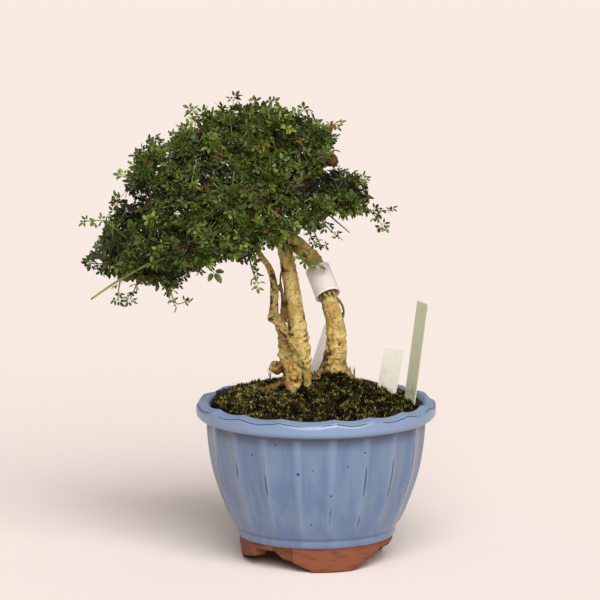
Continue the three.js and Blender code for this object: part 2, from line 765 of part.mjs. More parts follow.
// The crown's slice at x, blended between the two nearest listed slices
function crownSlice(x) {
  const next = CROWN_SLICES.findIndex((slice) => slice.x > x);
  const k = THREE.MathUtils.clamp(next - 1, 0, CROWN_SLICES.length - 2);
  const [a, b] = [CROWN_SLICES[k], CROWN_SLICES[k + 1]];
  const t = THREE.MathUtils.clamp((x - a.x) / (b.x - a.x), 0, 1);
  const blend = (key) => THREE.MathUtils.lerp(a[key], b[key], t);
  return {
    middle: blend("middle"),
    top: blend("top"),
    bottom: blend("bottom"),
    depth: blend("depth"),
  };
}

// A point under the crown's skin at x, an angle round the crown and a depth
function crownPoint(x, angle, depth) {
  const slice = crownSlice(x);
  const a = radians(angle);
  const reach = Math.sin(a) > 0 ? slice.top - slice.middle : slice.middle - slice.bottom;
  const out = new THREE.Vector3(0, -slice.depth * Math.cos(a), reach * Math.sin(a));
  const length = out.length();
  out.multiplyScalar(Math.max(length - depth, CORE_LEAST_DEPTH) / length);
  return out.add(new THREE.Vector3(x, 0, slice.middle));
}

// One three-part leaf as a thin lens: a short stalk, two side leaflets and an end leaflet,
// with the stalk's end at base, the leaf running along axis and facing along normal
function leaf(base, axis, normal, size, stalk) {
  const side = new THREE.Vector3().crossVectors(normal, axis).normalize();
  const face = new THREE.Vector3().crossVectors(axis, side).normalize();
  const half = (LEAFLET_HALF_WIDTH * size) / LEAFLET_LENGTH;
  const leaflet = (angle, length) => {
    const [c, s] = [Math.cos(radians(angle)), Math.sin(radians(angle))];
    const at = (u, v) => [u * c - v * s, u * s + v * c];
    const widest = LEAFLET_WIDEST * length;
    return [at(widest, -half), at(length, 0), at(widest, half)];
  };
  const outline = [
    [-stalk, 0],
    [-STALK_JOINT, -STALK_HALF_WIDTH],
    ...leaflet(-LEAFLET_SPREAD, SIDE_LEAFLET_SHARE * size),
    [LEAFLET_NOTCH, -LEAFLET_NOTCH],
    ...leaflet(0, END_LEAFLET_SHARE * size),
    [LEAFLET_NOTCH, LEAFLET_NOTCH],
    ...leaflet(LEAFLET_SPREAD, SIDE_LEAFLET_SHARE * size),
    [-STALK_JOINT, STALK_HALF_WIDTH],
  ];
  const middle = base.clone().addScaledVector(axis, stalk);
  const place = ([u, v]) => middle.clone().addScaledVector(axis, u).addScaledVector(side, v);
  const peak = (h) => [middle.clone().addScaledVector(face, h)];
  return skin([peak(LEAF_THICKNESS / 2), outline.map(place), peak(-LEAF_THICKNESS / 2)]);
}

// The twigs' and inner leaves' mass in the middle of a spray: a flattened lump whose
// corners are drawn in to the middle plane between it and each neighbour
function sprayCore({ centre, outward, radius, seed }, places) {
  const along = new THREE.Vector3().crossVectors(outward, WORLD_AXES[0]).normalize();
  const across = new THREE.Vector3().crossVectors(along, outward).normalize();
  const radii = [radius, radius * CORE_STRETCH, radius * CORE_FLATNESS];
  const axes = [across, along, outward];
  const core = lumpGeometry(centre.toArray(), radii, axes, randomStream(seed), CORE_ROUGHNESS);
  const position = core.attributes.position;
  for (let i = 0; i < position.count; i += 1) {
    const arm = new THREE.Vector3().fromBufferAttribute(position, i).sub(centre);
    let share = 1;
    for (const other of places) {
      const gap = other.centre.distanceTo(centre);
      if (gap > 0) {
        const reach = arm.dot(other.centre.clone().sub(centre)) / gap;
        share = Math.min(share, (gap / 2 - CLEARANCE) / Math.max(reach, 0.01));
      }
    }
    const { x, y, z } = arm.multiplyScalar(share).add(centre);
    position.setXYZ(i, x, y, z);
  }
  return core;
}

// The faces of a core that look out of the crown, each as its middle and its normal
function outerFaces(core, { centre, outward }) {
  const position = core.attributes.position;
  const faces = [];
  for (let i = 0; i < position.count; i += 3) {
    const corner = (n) => new THREE.Vector3().fromBufferAttribute(position, i + n);
    const face = new THREE.Triangle(corner(0), corner(1), corner(2));
    const middle = face.getMidpoint(new THREE.Vector3());
    const normal = face.getNormal(new THREE.Vector3());
    if (normal.dot(middle.clone().sub(centre)) < 0) {
      normal.negate();
    }
    faces.push({ middle, normal, facing: normal.dot(outward) });
  }
  return faces.sort((p, q) => q.facing - p.facing);
}

// A leaf on a face of a core, leaning over along the surface, in a turn of its own
function coreLeaf({ middle, normal }, outward, random) {
  const base = middle.clone().addScaledVector(normal, -LEAF_SUNK);
  const drift = new THREE.Vector3(random() - 0.5, random() - 0.5, random() - 0.35);
  const along = drift.projectOnPlane(normal).normalize();
  const axis = normal.clone().multiplyScalar(LEAF_RISE).addScaledVector(along, LEAF_LEAN).normalize();
  const tilt = new THREE.Vector3(LEAF_TILT * (random() - 0.5), -0.1, LEAF_TILT * random());
  const facing = outward.clone().add(tilt).normalize();
  const size = LEAFLET_LENGTH * (LEAF_SIZE_LEAST + LEAF_SIZE_SPREAD * random());
  return leaf(base, axis, facing, size, LEAF_STALK + STALK_SPREAD * random());
}

// A stem with pairs of leaves along it and one leaf at its tip
function shoot({ stem: points, r, leaf: size }, seed) {
  const random = randomStream(seed);
  const taper = points.map((p, n) => [...p, r * (1 - (SHOOT_TAPER * n) / points.length)]);
  const parts = [stem(taper, { sides: 3, steps: 2 * (points.length - 1), seed })];
  if (size > 0) {
    const curve = new THREE.CatmullRomCurve3(points.map((p) => new THREE.Vector3(...p)));
    SHOOT_LEAF_PLACES.forEach((t) => {
      const along = curve.getTangent(t);
      const across = new THREE.Vector3().crossVectors(along, BACK_AND_UP).normalize();
      const swing = t === 1 ? 0 : -1;
      const forward = along.clone().multiplyScalar(SHOOT_LEAF_FORWARD);
      const axis = forward.addScaledVector(across, swing).normalize();
      const normal = new THREE.Vector3(random() - 0.5, -1, 0.4 + 0.6 * random()).normalize();
      const leafSize = size * (SHOOT_LEAF_SIZE_LEAST + LEAF_SIZE_SPREAD * random());
      const base = curve.getPoint(t).addScaledVector(axis, t === 1 ? -1 : 0);
      parts.push(leaf(base, axis, normal, leafSize, SHOOT_STALK_SHARE * leafSize));
    });
  }
  return Manifold.union(parts);
}

// True where two solids share space
function clash(a, b) {
  const [p, q] = [a.boundingBox(), b.boundingBox()];
  const apart = [0, 1, 2].some((n) => p.min[n] > q.max[n] || q.min[n] > p.max[n]);
  return !apart && a.intersect(b).volume() > 0;
}

// Where each spray's core lies: its centre, its outward direction and its radius
function sprayPlaces() {
  const places = [];
  const place = (centre, outward, radius) => {
    const seed = CORE_SEED + places.length;
    places.push({ centre, outward: outward.normalize(), radius, seed });
  };
  SPRAY_ROWS.forEach(({ x, count, first, last, depth, core }) => {
    const end = THREE.MathUtils.clamp((x - CROWN_MIDDLE_X) / CROWN_HALF_SPAN, -1, 1);
    const sideways = new THREE.Vector3(end * Math.abs(end) * END_TURN, 0, 0);
    for (let i = 0; i < count; i += 1) {
      const angle = count === 1 ? first : first + ((last - first) * i) / (count - 1);
      const outward = crownPoint(x, angle, 0).sub(crownPoint(x, angle, CORE_LEAST_DEPTH));
      place(crownPoint(x, angle, depth), outward.normalize().add(sideways), core);
    }
  });
  LOW_SPRAYS.forEach(({ x, y, z, core }) => {
    place(new THREE.Vector3(x, y, z), new THREE.Vector3(...LOW_SPRAY_OUTWARD), core);
  });
  return places;
}

// All sprays: cores first, shrunk until none touches another, then the shoots, each fused
// to the core that it grows from, then every leaf that stays clear of the other sprays
function sprays(fatWood) {
  const places = sprayPlaces();
  const cores = [];
  const coreSolids = [];
  const bodies = [];
  places.forEach((place) => {
    const core = sprayCore(place, places);
    cores.push(core);
    coreSolids.push(toSolid(core));
    bodies.push(toSolid(core));
  });
  const add = (n, piece) => {
    const free = bodies.every((other, m) => m === n || !clash(piece, other));
    if (free) {
      bodies[n] = bodies[n].add(piece);
    }
    return free;
  };
  SHOOTS.forEach((made, k) => {
    const root = new THREE.Vector3(...made.stem[0]);
    const order = places.map((place, n) => ({ n, far: place.centre.distanceTo(root) }));
    order.sort((p, q) => p.far - q.far);
    order.slice(0, ROOT_CHOICES).some(({ n }) => {
      const joined = { ...made, stem: [places[n].centre.toArray(), ...made.stem.slice(1)] };
      return add(n, shoot(joined, SHOOT_SEED + k));
    });
  });
  places.forEach((place, n) => {
    const random = randomStream(place.seed + LEAF_SEED);
    const faces = outerFaces(cores[n], place);
    let left = LEAVES_PER_SPRAY;
    for (let turn = 0; turn < LEAF_TRIES && left > 0; turn += 1) {
      const face = faces[(turn * FACE_STEP) % OUTER_FACES];
      const made = coreLeaf(face, place.outward, random);
      const inCore = made.intersect(coreSolids[n]).volume();
      const inSpray = made.intersect(bodies[n]).volume();
      const clear = inCore < STALK_SUNK && inSpray < inCore + LEAF_TOUCH && !clash(made, fatWood);
      if (!face.taken && clear && add(n, made)) {
        face.taken = true;
        left -= 1;
      }
    }
  });
  return bodies.map((body) => largestBody(clash(body, fatWood) ? body.subtract(fatWood) : body));
}

// The whole object

function bonsai() {
  const inner = new THREE.Group();
  const timber = wood(0);
  const fatWood = wood(CLEARANCE);
  const fatLabels = LABELS.map((made) => label(made, CLEARANCE));
  const soilHoles = Manifold.union([...deepTrunks(CLEARANCE), ...fatLabels]);
  const mossHoles = Manifold.union([fatWood, cake(CLEARANCE), ...fatLabels]);
  inner.add(toMesh("pot", pot(), FINISHES.glaze));
  inner.add(toMesh("drainage_mesh", drainageMesh(), FINISHES.blackPlastic));
  inner.add(toMesh("soil", soil(soilHoles), FINISHES.soil));
  inner.add(toMesh("moss", moss(mossHoles), FINISHES.moss));
  inner.add(toMesh("trunks_and_branches", timber, FINISHES.bark));
  inner.add(toMesh("collar", collar(), FINISHES.whitePlastic));
  inner.add(toMesh("feeding_cake", cake(0), FINISHES.cake));
  LABELS.forEach((made) => {
    const finish = made.name === "label_green" ? FINISHES.greenPlastic : FINISHES.whitePlastic;
    inner.add(toMesh(made.name, label(made, 0), finish));
  });
  sprays(fatWood).forEach((spray, n) => {
    inner.add(toMesh("leafy_spray_" + String(n + 1).padStart(2, "0"), spray, FINISHES.leaf));
  });
  const box = new THREE.Box3().setFromObject(inner);
  const middle = box.getCenter(new THREE.Vector3());
  inner.position.set(-middle.x, -middle.y, -box.min.z);
  const group = new THREE.Group();
  group.add(inner);
  return group;
}

const group = bonsai();
group.updateMatrixWorld(true);

export default group;
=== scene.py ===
"""Looks of a potted winter jasmine bonsai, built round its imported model.

Lengths are millimetres in the pot's own frame: the pot's axis is x = y = 0, its feet stand on
z = 0 and its front faces -Y. Azimuths are degrees from the front towards +X. A Placement turns
such points into metres in the row frame, where every mesh is written.
"""

from __future__ import annotations

import logging
import math
from collections.abc import Mapping, Sequence
from dataclasses import dataclass, field
from enum import Enum

import bpy
import numpy as np
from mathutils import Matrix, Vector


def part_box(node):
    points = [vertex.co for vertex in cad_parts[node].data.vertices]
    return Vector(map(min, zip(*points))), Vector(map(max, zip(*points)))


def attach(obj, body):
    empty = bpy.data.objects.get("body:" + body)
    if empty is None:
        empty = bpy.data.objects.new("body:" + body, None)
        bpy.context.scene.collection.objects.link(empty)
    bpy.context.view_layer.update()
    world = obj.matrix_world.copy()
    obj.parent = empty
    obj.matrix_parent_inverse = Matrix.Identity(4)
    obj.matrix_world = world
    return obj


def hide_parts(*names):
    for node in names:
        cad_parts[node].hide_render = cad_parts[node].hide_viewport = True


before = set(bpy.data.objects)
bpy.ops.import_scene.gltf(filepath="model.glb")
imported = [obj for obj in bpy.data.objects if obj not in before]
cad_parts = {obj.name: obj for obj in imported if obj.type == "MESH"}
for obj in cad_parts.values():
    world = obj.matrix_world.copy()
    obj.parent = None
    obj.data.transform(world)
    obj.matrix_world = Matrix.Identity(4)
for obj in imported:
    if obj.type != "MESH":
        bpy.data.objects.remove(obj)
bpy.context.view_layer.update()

log = logging.getLogger("bonsai")

Array = np.ndarray
Point = tuple[float, float, float]
Rows = tuple[tuple[float, ...], ...]
Socket = bpy.types.NodeSocket
Stops = Sequence[tuple[float, str]]

MM = 0.001
BODY = "root"
UP = np.array([0.0, 0.0, 1.0])
GOLDEN_ANGLE = math.pi * (3.0 - math.sqrt(5.0))
SMOOTH = {"interpolation_type": "SMOOTHSTEP"}
YOUNG_STEM = ((-60, -46, 302), (-46, -46, 295), (-28, -32, 283), (-10, -12, 268), (3, 4, 259))


# Numbers and points


def smooth_step(low: float, high: float, value: Array) -> Array:
    """Blends from 0 at low to 1 at high: 3t squared minus 2t cubed, t being the clipped share."""
    share = np.clip((value - low) / (high - low), 0.0, 1.0)
    return share * share * (3.0 - 2.0 * share)


def unit(vectors: Array) -> Array:
    """Returns vectors scaled to length 1 along their last axis."""
    return vectors / np.maximum(np.linalg.norm(vectors, axis=-1, keepdims=True), 1e-9)


def around(azimuth: Array, radius: Array, z: Array) -> Array:
    """Places points round the pot's axis: (r sin a, -r cos a, z).

    Args:
        azimuth: Degrees from the front towards +X.
        radius: Distances from the axis in mm.
        z: Heights in mm.

    Returns:
        Points with a last axis of 3.
    """
    angle = np.radians(azimuth)
    x, y, height = np.broadcast_arrays(radius * np.sin(angle), -radius * np.cos(angle), z)
    return np.stack([x, y, height], axis=-1)


def turned(points: Array, degrees: float, axis: int = 2) -> Array:
    """Turns points about an axis through the origin: a to a cos - b sin, b to a sin + b cos.

    Args:
        points: Points with a last axis of 3.
        degrees: The angle.
        axis: 0, 1 or 2 for x, y or z.

    Returns:
        The turned points.
    """
    c, s = math.cos(math.radians(degrees)), math.sin(math.radians(degrees))
    a, b = (axis + 1) % 3, (axis + 2) % 3
    turn = np.eye(3)
    turn[a, a], turn[a, b], turn[b, a], turn[b, b] = c, -s, s, c
    return points @ turn.T


def ring_angles(count: int) -> Array:
    """Returns the angles of a ring's points, in radians from 0 on."""
    return 2 * np.pi * np.arange(count) / count


def corner_values(corners: Array, seed: int) -> Array:
    """Gives each corner of a cubic lattice a fixed value from -1 to 1 by mixing its indices' bits.

    Args:
        corners: Whole-numbered corners with a last axis of 3.
        seed: Picks the set of values.

    Returns:
        One value for each corner.
    """
    primes = np.array([73856093, 19349663, 83492791], np.int64)
    mixed = (corners * primes).sum(axis=-1) + seed * 912931
    mixed = (mixed ^ (mixed >> 13)) * 1274126177 & 0xFFFFFFFF
    mixed = (mixed ^ (mixed >> 15)) * 668265263 & 0xFFFFFFFF
    return (mixed ^ (mixed >> 16)) / 2147483647.5 - 1.0


def lattice_noise(points: Array, size: float, seed: int) -> Array:
    """Smooth noise from -1 to 1: values at the corners of cubes of a size, blended smoothly.

    Args:
        points: Points in mm.
        size: Side of a cube in mm.
        seed: Picks the noise.

    Returns:
        One value for each point.
    """
    cells = points / size
    low = np.floor(cells).astype(np.int64)
    share = cells - low
    share = share * share * (3.0 - 2.0 * share)
    total = np.zeros(points.shape[:-1])
    for corner in np.ndindex(2, 2, 2):
        weight = np.where(corner, share, 1.0 - share).prod(axis=-1)
        total += weight * corner_values(low + np.array(corner), seed)
    return total


def smooth_curve(points: Array, count: int) -> Array:
    """Carries rows of numbers along a centripetal Catmull-Rom curve through the given rows.

    Each stretch is a cubic whose end slopes come from the rows beside it, timed by the square
    root of the distance. The first three columns are the place.

    Args:
        points: Rows of x, y, z and any further numbers.
        count: How many rows to give back.

    Returns:
        Rows spread evenly over the stretches, further numbers blended in a straight line.
    """
    rows = np.asarray(points, float)
    place = rows[:, :3]
    ends = np.vstack([2 * place[0] - place[1], place, 2 * place[-1] - place[-2]])
    at = np.linspace(0.0, len(rows) - 1, count)
    k = np.minimum(at.astype(int), len(rows) - 2)
    share = (at - k)[:, None]
    p0, p1, p2, p3 = ends[k], ends[k + 1], ends[k + 2], ends[k + 3]
    pairs = ((p0, p1), (p1, p2), (p2, p3))
    d0, d1, d2 = (np.sqrt(np.linalg.norm(b - a, axis=1, keepdims=True)) for a, b in pairs)
    start = ((p1 - p0) / d0 - (p2 - p0) / (d0 + d1) + (p2 - p1) / d1) * d1
    end = ((p2 - p1) / d1 - (p3 - p1) / (d1 + d2) + (p3 - p2) / d2) * d1
    cube, square = share**3, share**2
    curve = (2 * cube - 3 * square + 1) * p1 + (cube - 2 * square + share) * start
    curve += (3 * square - 2 * cube) * p2 + (cube - square) * end
    rest = rows[k, 3:] * (1.0 - share) + rows[k + 1, 3:] * share
    return np.hstack([curve, rest])


def carried_frames(path: Array) -> tuple[Array, Array, Array]:
    """Carries a pair of side directions along a path, turned as little as the path allows.

    Args:
        path: Points along the path.

    Returns:
        Tangents, first sides and second sides, one row for each point.
    """
    tangents = unit(np.gradient(path, axis=0))
    helper = np.eye(3)[np.argmin(np.abs(tangents[0]))]
    side = unit(np.cross(tangents[0], helper))
    sides = []
    for tangent in tangents:
        side = unit(side - tangent * np.dot(side, tangent))
        sides.append(side)
    first = np.array(sides)
    return tangents, first, np.cross(tangents, first)


def path_length(path: Array) -> Array:
    """Returns how far each point of a path lies from its start, in mm."""
    return np.concatenate([[0.0], np.linalg.norm(np.diff(path, axis=0), axis=1).cumsum()])


@dataclass(frozen=True)
class Placement:
    """Where the pot's own frame lies in the row frame."""

    origin: Array

    @classmethod
    def of_pot(cls) -> Placement:
        """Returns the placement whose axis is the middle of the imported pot."""
        low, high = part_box("pot")
        return cls(np.array([(low.x + high.x) / 2, (low.y + high.y) / 2, low.z]) / MM)

    def metres(self, points: Array) -> Array:
        """Returns points of the pot's frame, in mm, as metres in the row frame."""
        return (points + self.origin) * MM


# Meshes


@dataclass
class Skin:
    """A surface being put together: points in mm, faces, and what the material reads.

    Fields:
        faces: One row of three or four vertex numbers for each face.
        corners: A pair of pattern coordinates for each face's corner, or None.
        values: Named numbers or vectors, one for each vertex.
    """

    points: Array
    faces: Array
    corners: Array | None = None
    values: dict[str, Array] = field(default_factory=dict)

    def outward(self) -> Skin:
        """Returns the same closed skin, its faces turned round where their volume is negative."""
        first, volume = self.points[self.faces[:, 0]], 0.0
        for n in range(1, self.faces.shape[1] - 1):
            second, third = self.points[self.faces[:, n]], self.points[self.faces[:, n + 1]]
            volume += np.einsum("ij,ij->i", first, np.cross(second, third)).sum()
        if volume < 0:
            self.faces = self.faces[:, ::-1].copy()
            if self.corners is not None:
                self.corners = self.corners[:, ::-1].copy()
        return self

    def normals(self) -> Array:
        """Returns one unit vector for each point: the summed cross products of its faces."""
        corners = self.points[self.faces]
        cross = np.cross(corners[:, 2] - corners[:, 0], corners[:, -1] - corners[:, 1])
        normals = np.zeros_like(self.points)
        for n in range(self.faces.shape[1]):
            np.add.at(normals, self.faces[:, n], cross)
        return unit(normals)

    def to_object(self, name: str, placement: Placement, smooth: bool = True) -> bpy.types.Object:
        """Writes the skin into a new mesh object at the origin.

        Args:
            name: The object's name.
            placement: Where the pot's frame lies.
            smooth: Whether the faces are shaded smooth.

        Returns:
            The new object.
        """
        mesh = bpy.data.meshes.new(name)
        mesh.from_pydata(placement.metres(self.points), [], self.faces.tolist())
        mesh.polygons.foreach_set("use_smooth", np.full(len(self.faces), smooth))
        if self.corners is not None:
            layer = mesh.uv_layers.new(name="surface")
            layer.data.foreach_set("uv", self.corners.astype(np.float32).ravel())
        for key, values in self.values.items():
            vector = values.ndim == 2
            attribute = mesh.attributes.new(key, "FLOAT_VECTOR" if vector else "FLOAT", "POINT")
            numbers = values.astype(np.float32).ravel()
            attribute.data.foreach_set("vector" if vector else "value", numbers)
        mesh.validate(clean_customdata=False)
        mesh.update()
        made = bpy.data.objects.new(name, mesh)
        bpy.context.scene.collection.objects.link(made)
        return made


def joined(skins: Sequence[Skin]) -> Skin:
    """Puts several skins with the same kinds of faces and values into one.

    Args:
        skins: The skins to join.

    Returns:
        One skin that holds them all.
    """
    starts = np.cumsum([0] + [len(skin.points) for skin in skins[:-1]])
    corners = None
    if skins[0].corners is not None:
        corners = np.vstack([skin.corners for skin in skins])
    return Skin(
        points=np.vstack([skin.points for skin in skins]),
        faces=np.vstack([skin.faces + start for skin, start in zip(skins, starts)]),
        corners=corners,
        values={key: np.concatenate([skin.values[key] for skin in skins]) for key in skins[0].values},
    )


def grid_skin(points: Array, pattern: Array | None = None, loop: bool = False) -> Skin:
    """Joins a grid of rings into a closed skin. Each row is a ring that closes on itself.

    A face joins columns j and j + 1 of rows i and i + 1, the last column wrapping to the first.

    Args:
        points: Rings, columns and coordinates.
        pattern: Pattern coordinates with one more row and column than the wrap needs, or None.
        loop: Whether the last row joins the first, as round a ring, or both end rows are closed
            by a point at their middle.

    Returns:
        The closed skin, pointing outwards.
    """
    rows, columns = points.shape[:2]
    if not loop:
        ends = [np.repeat(points[k].mean(axis=0)[None], columns, axis=0)[None] for k in (0, -1)]
        points = np.concatenate([ends[0], points, ends[1]])
        rows += 2
    i, j = np.meshgrid(np.arange(rows if loop else rows - 1), np.arange(columns), indexing="ij")
    i, j = i.ravel(), j.ravel()
    below, right = (i + 1) % rows, (j + 1) % columns
    faces = np.stack([i * columns + j, i * columns + right, below * columns + right, below * columns + j], 1)
    corners = None
    if pattern is not None:
        corners = np.stack([pattern[i, j], pattern[i, j + 1], pattern[i + 1, j + 1], pattern[i + 1, j]], 1)
    made = Skin(points.reshape(-1, 3), faces, corners)
    if not loop:
        made = closed_poles(made, columns)
    return made.outward()


def closed_poles(made: Skin, columns: int) -> Skin:
    """Turns a grid whose first and last rows are single points into triangles with two poles.

    Args:
        made: A grid of quads, its first and last rows each one point repeated.
        columns: How many columns it has.

    Returns:
        The skin in triangles, each pole one vertex.
    """
    count = len(made.points)
    kept = np.arange(count)
    kept[:columns] = 0
    kept[-columns:] = count - columns
    faces = kept[np.vstack([made.faces[:, [0, 1, 2]], made.faces[:, [0, 2, 3]]])]
    whole = (faces[:, 0] != faces[:, 1]) & (faces[:, 1] != faces[:, 2]) & (faces[:, 0] != faces[:, 2])
    used = np.zeros(count, bool)
    used[faces[whole]] = True
    numbers = np.cumsum(used) - 1
    return Skin(made.points[used], numbers[faces[whole]])


def tube_points(path: Array, radii: Array, sides: int) -> Array:
    """Rings round a path: centre + r (cos a first side + sin a second side).

    Args:
        path: Points along the middle.
        radii: Radius at each point.
        sides: How many points a ring has.

    Returns:
        Rings, sides and coordinates.
    """
    _, first, second = carried_frames(path)
    angle = ring_angles(sides)[None, :, None]
    out = np.cos(angle) * first[:, None] + np.sin(angle) * second[:, None]
    return path[:, None] + radii[:, None, None] * out


# Materials


def linear(code: str) -> tuple[float, float, float, float]:
    """Turns an sRGB hex colour such as "#8097bd" into a linear colour with full alpha."""
    parts = [int(code[n : n + 2], 16) / 255 for n in (1, 3, 5)]
    return (*(p / 12.92 if p <= 0.04045 else ((p + 0.055) / 1.055) ** 2.4 for p in parts), 1.0)


@dataclass
class Surface:
    """A material being built, with its node tree and its Principled shader."""

    material: bpy.types.Material
    tree: bpy.types.NodeTree
    shader: bpy.types.Node

    @classmethod
    def start(cls, name: str, roughness: float, ior: float = 1.5, shine: float = 0.5) -> Surface:
        """Starts a material with its shader linked to the output.

        Args:
            name: The material's name.
            roughness: The shader's roughness.
            ior: Its index of refraction.
            shine: Its specular level, under 0.5 where fine hollows swallow the shine.

        Returns:
            The surface.
        """
        material = bpy.data.materials.new(name)
        material.use_nodes = True
        shader = material.node_tree.nodes["Principled BSDF"]
        for key, value in (("Roughness", roughness), ("IOR", ior), ("Specular IOR Level", shine)):
            shader.inputs[key].default_value = value
        return cls(material, material.node_tree, shader)

    def place(self, across: float = 1.0, along: float = 1.0) -> Socket:
        """Returns Object coordinates in mm, squeezed level by across and upright by along."""
        factors = (across / MM, across / MM, along / MM)
        return self.add("VectorMath MULTIPLY", {0: self.add("TexCoord", {}, "Object"), 1: factors})

    def add(
        self, kind: str, inputs: Mapping, out: str | int = 0, stops: Stops = (), **settings: object
    ) -> Socket:
        """Adds a node with its settings, links and, for a colour ramp, its stops.

        Args:
            kind: The node's type after "ShaderNode" and, after a space, its operation.
            inputs: Numbers, sRGB hex colours or other nodes' outputs, by input.
            out: The output to give back.
            stops: Places and sRGB colours along a colour ramp.
            settings: Properties of the node.

        Returns:
            The output.
        """
        kind, _, operation = kind.partition(" ")
        node = self.tree.nodes.new("ShaderNode" + kind)
        for key, value in (settings | ({"operation": operation} if operation else {})).items():
            setattr(node, key, value)
        for key, value in inputs.items():
            if isinstance(value, Socket):
                self.tree.links.new(value, node.inputs[key])
            else:
                node.inputs[key].default_value = linear(value) if isinstance(value, str) else value
        for n, (place, colour) in enumerate(stops):
            elements = node.color_ramp.elements
            element = elements[n] if n < 2 else elements.new(place)
            element.position, element.color = place, linear(colour)
        return node.outputs[out]

    def paint(self, tone: Socket | str, *layers: tuple) -> Socket:
        """Lays colours over a tone.

        Args:
            tone: The colour underneath.
            layers: Share and colour of each, or its pattern, the values where it starts and is
                full, its greatest share and its colour.

        Returns:
            The tone with every layer.
        """
        for share, *band, colour in layers:
            if band:
                share = self.add("MapRange", {0: share, 1: band[0], 2: band[1], 4: band[2]}, **SMOOTH)
            tone = self.add("Mix", {0: share, 6: tone, 7: colour}, 2, data_type="RGBA")
        return tone

    def dress(self, *reliefs: tuple[Socket, float], **sockets: Socket) -> bpy.types.Material:
        """Links the shader's inputs and piles up reliefs on its normal.

        Args:
            reliefs: Pattern and height in mm of each relief.
            sockets: Outputs by input, "_" standing for a space.

        Returns:
            The material.
        """
        for pattern, height in reliefs:
            below = {"Normal": sockets["Normal"]} if "Normal" in sockets else {}
            sockets["Normal"] = self.add("Bump", {"Height": pattern, "Distance": height * MM} | below)
        for key, socket in sockets.items():
            self.tree.links.new(socket, self.shader.inputs[key.replace("_", " ")])
        return self.material


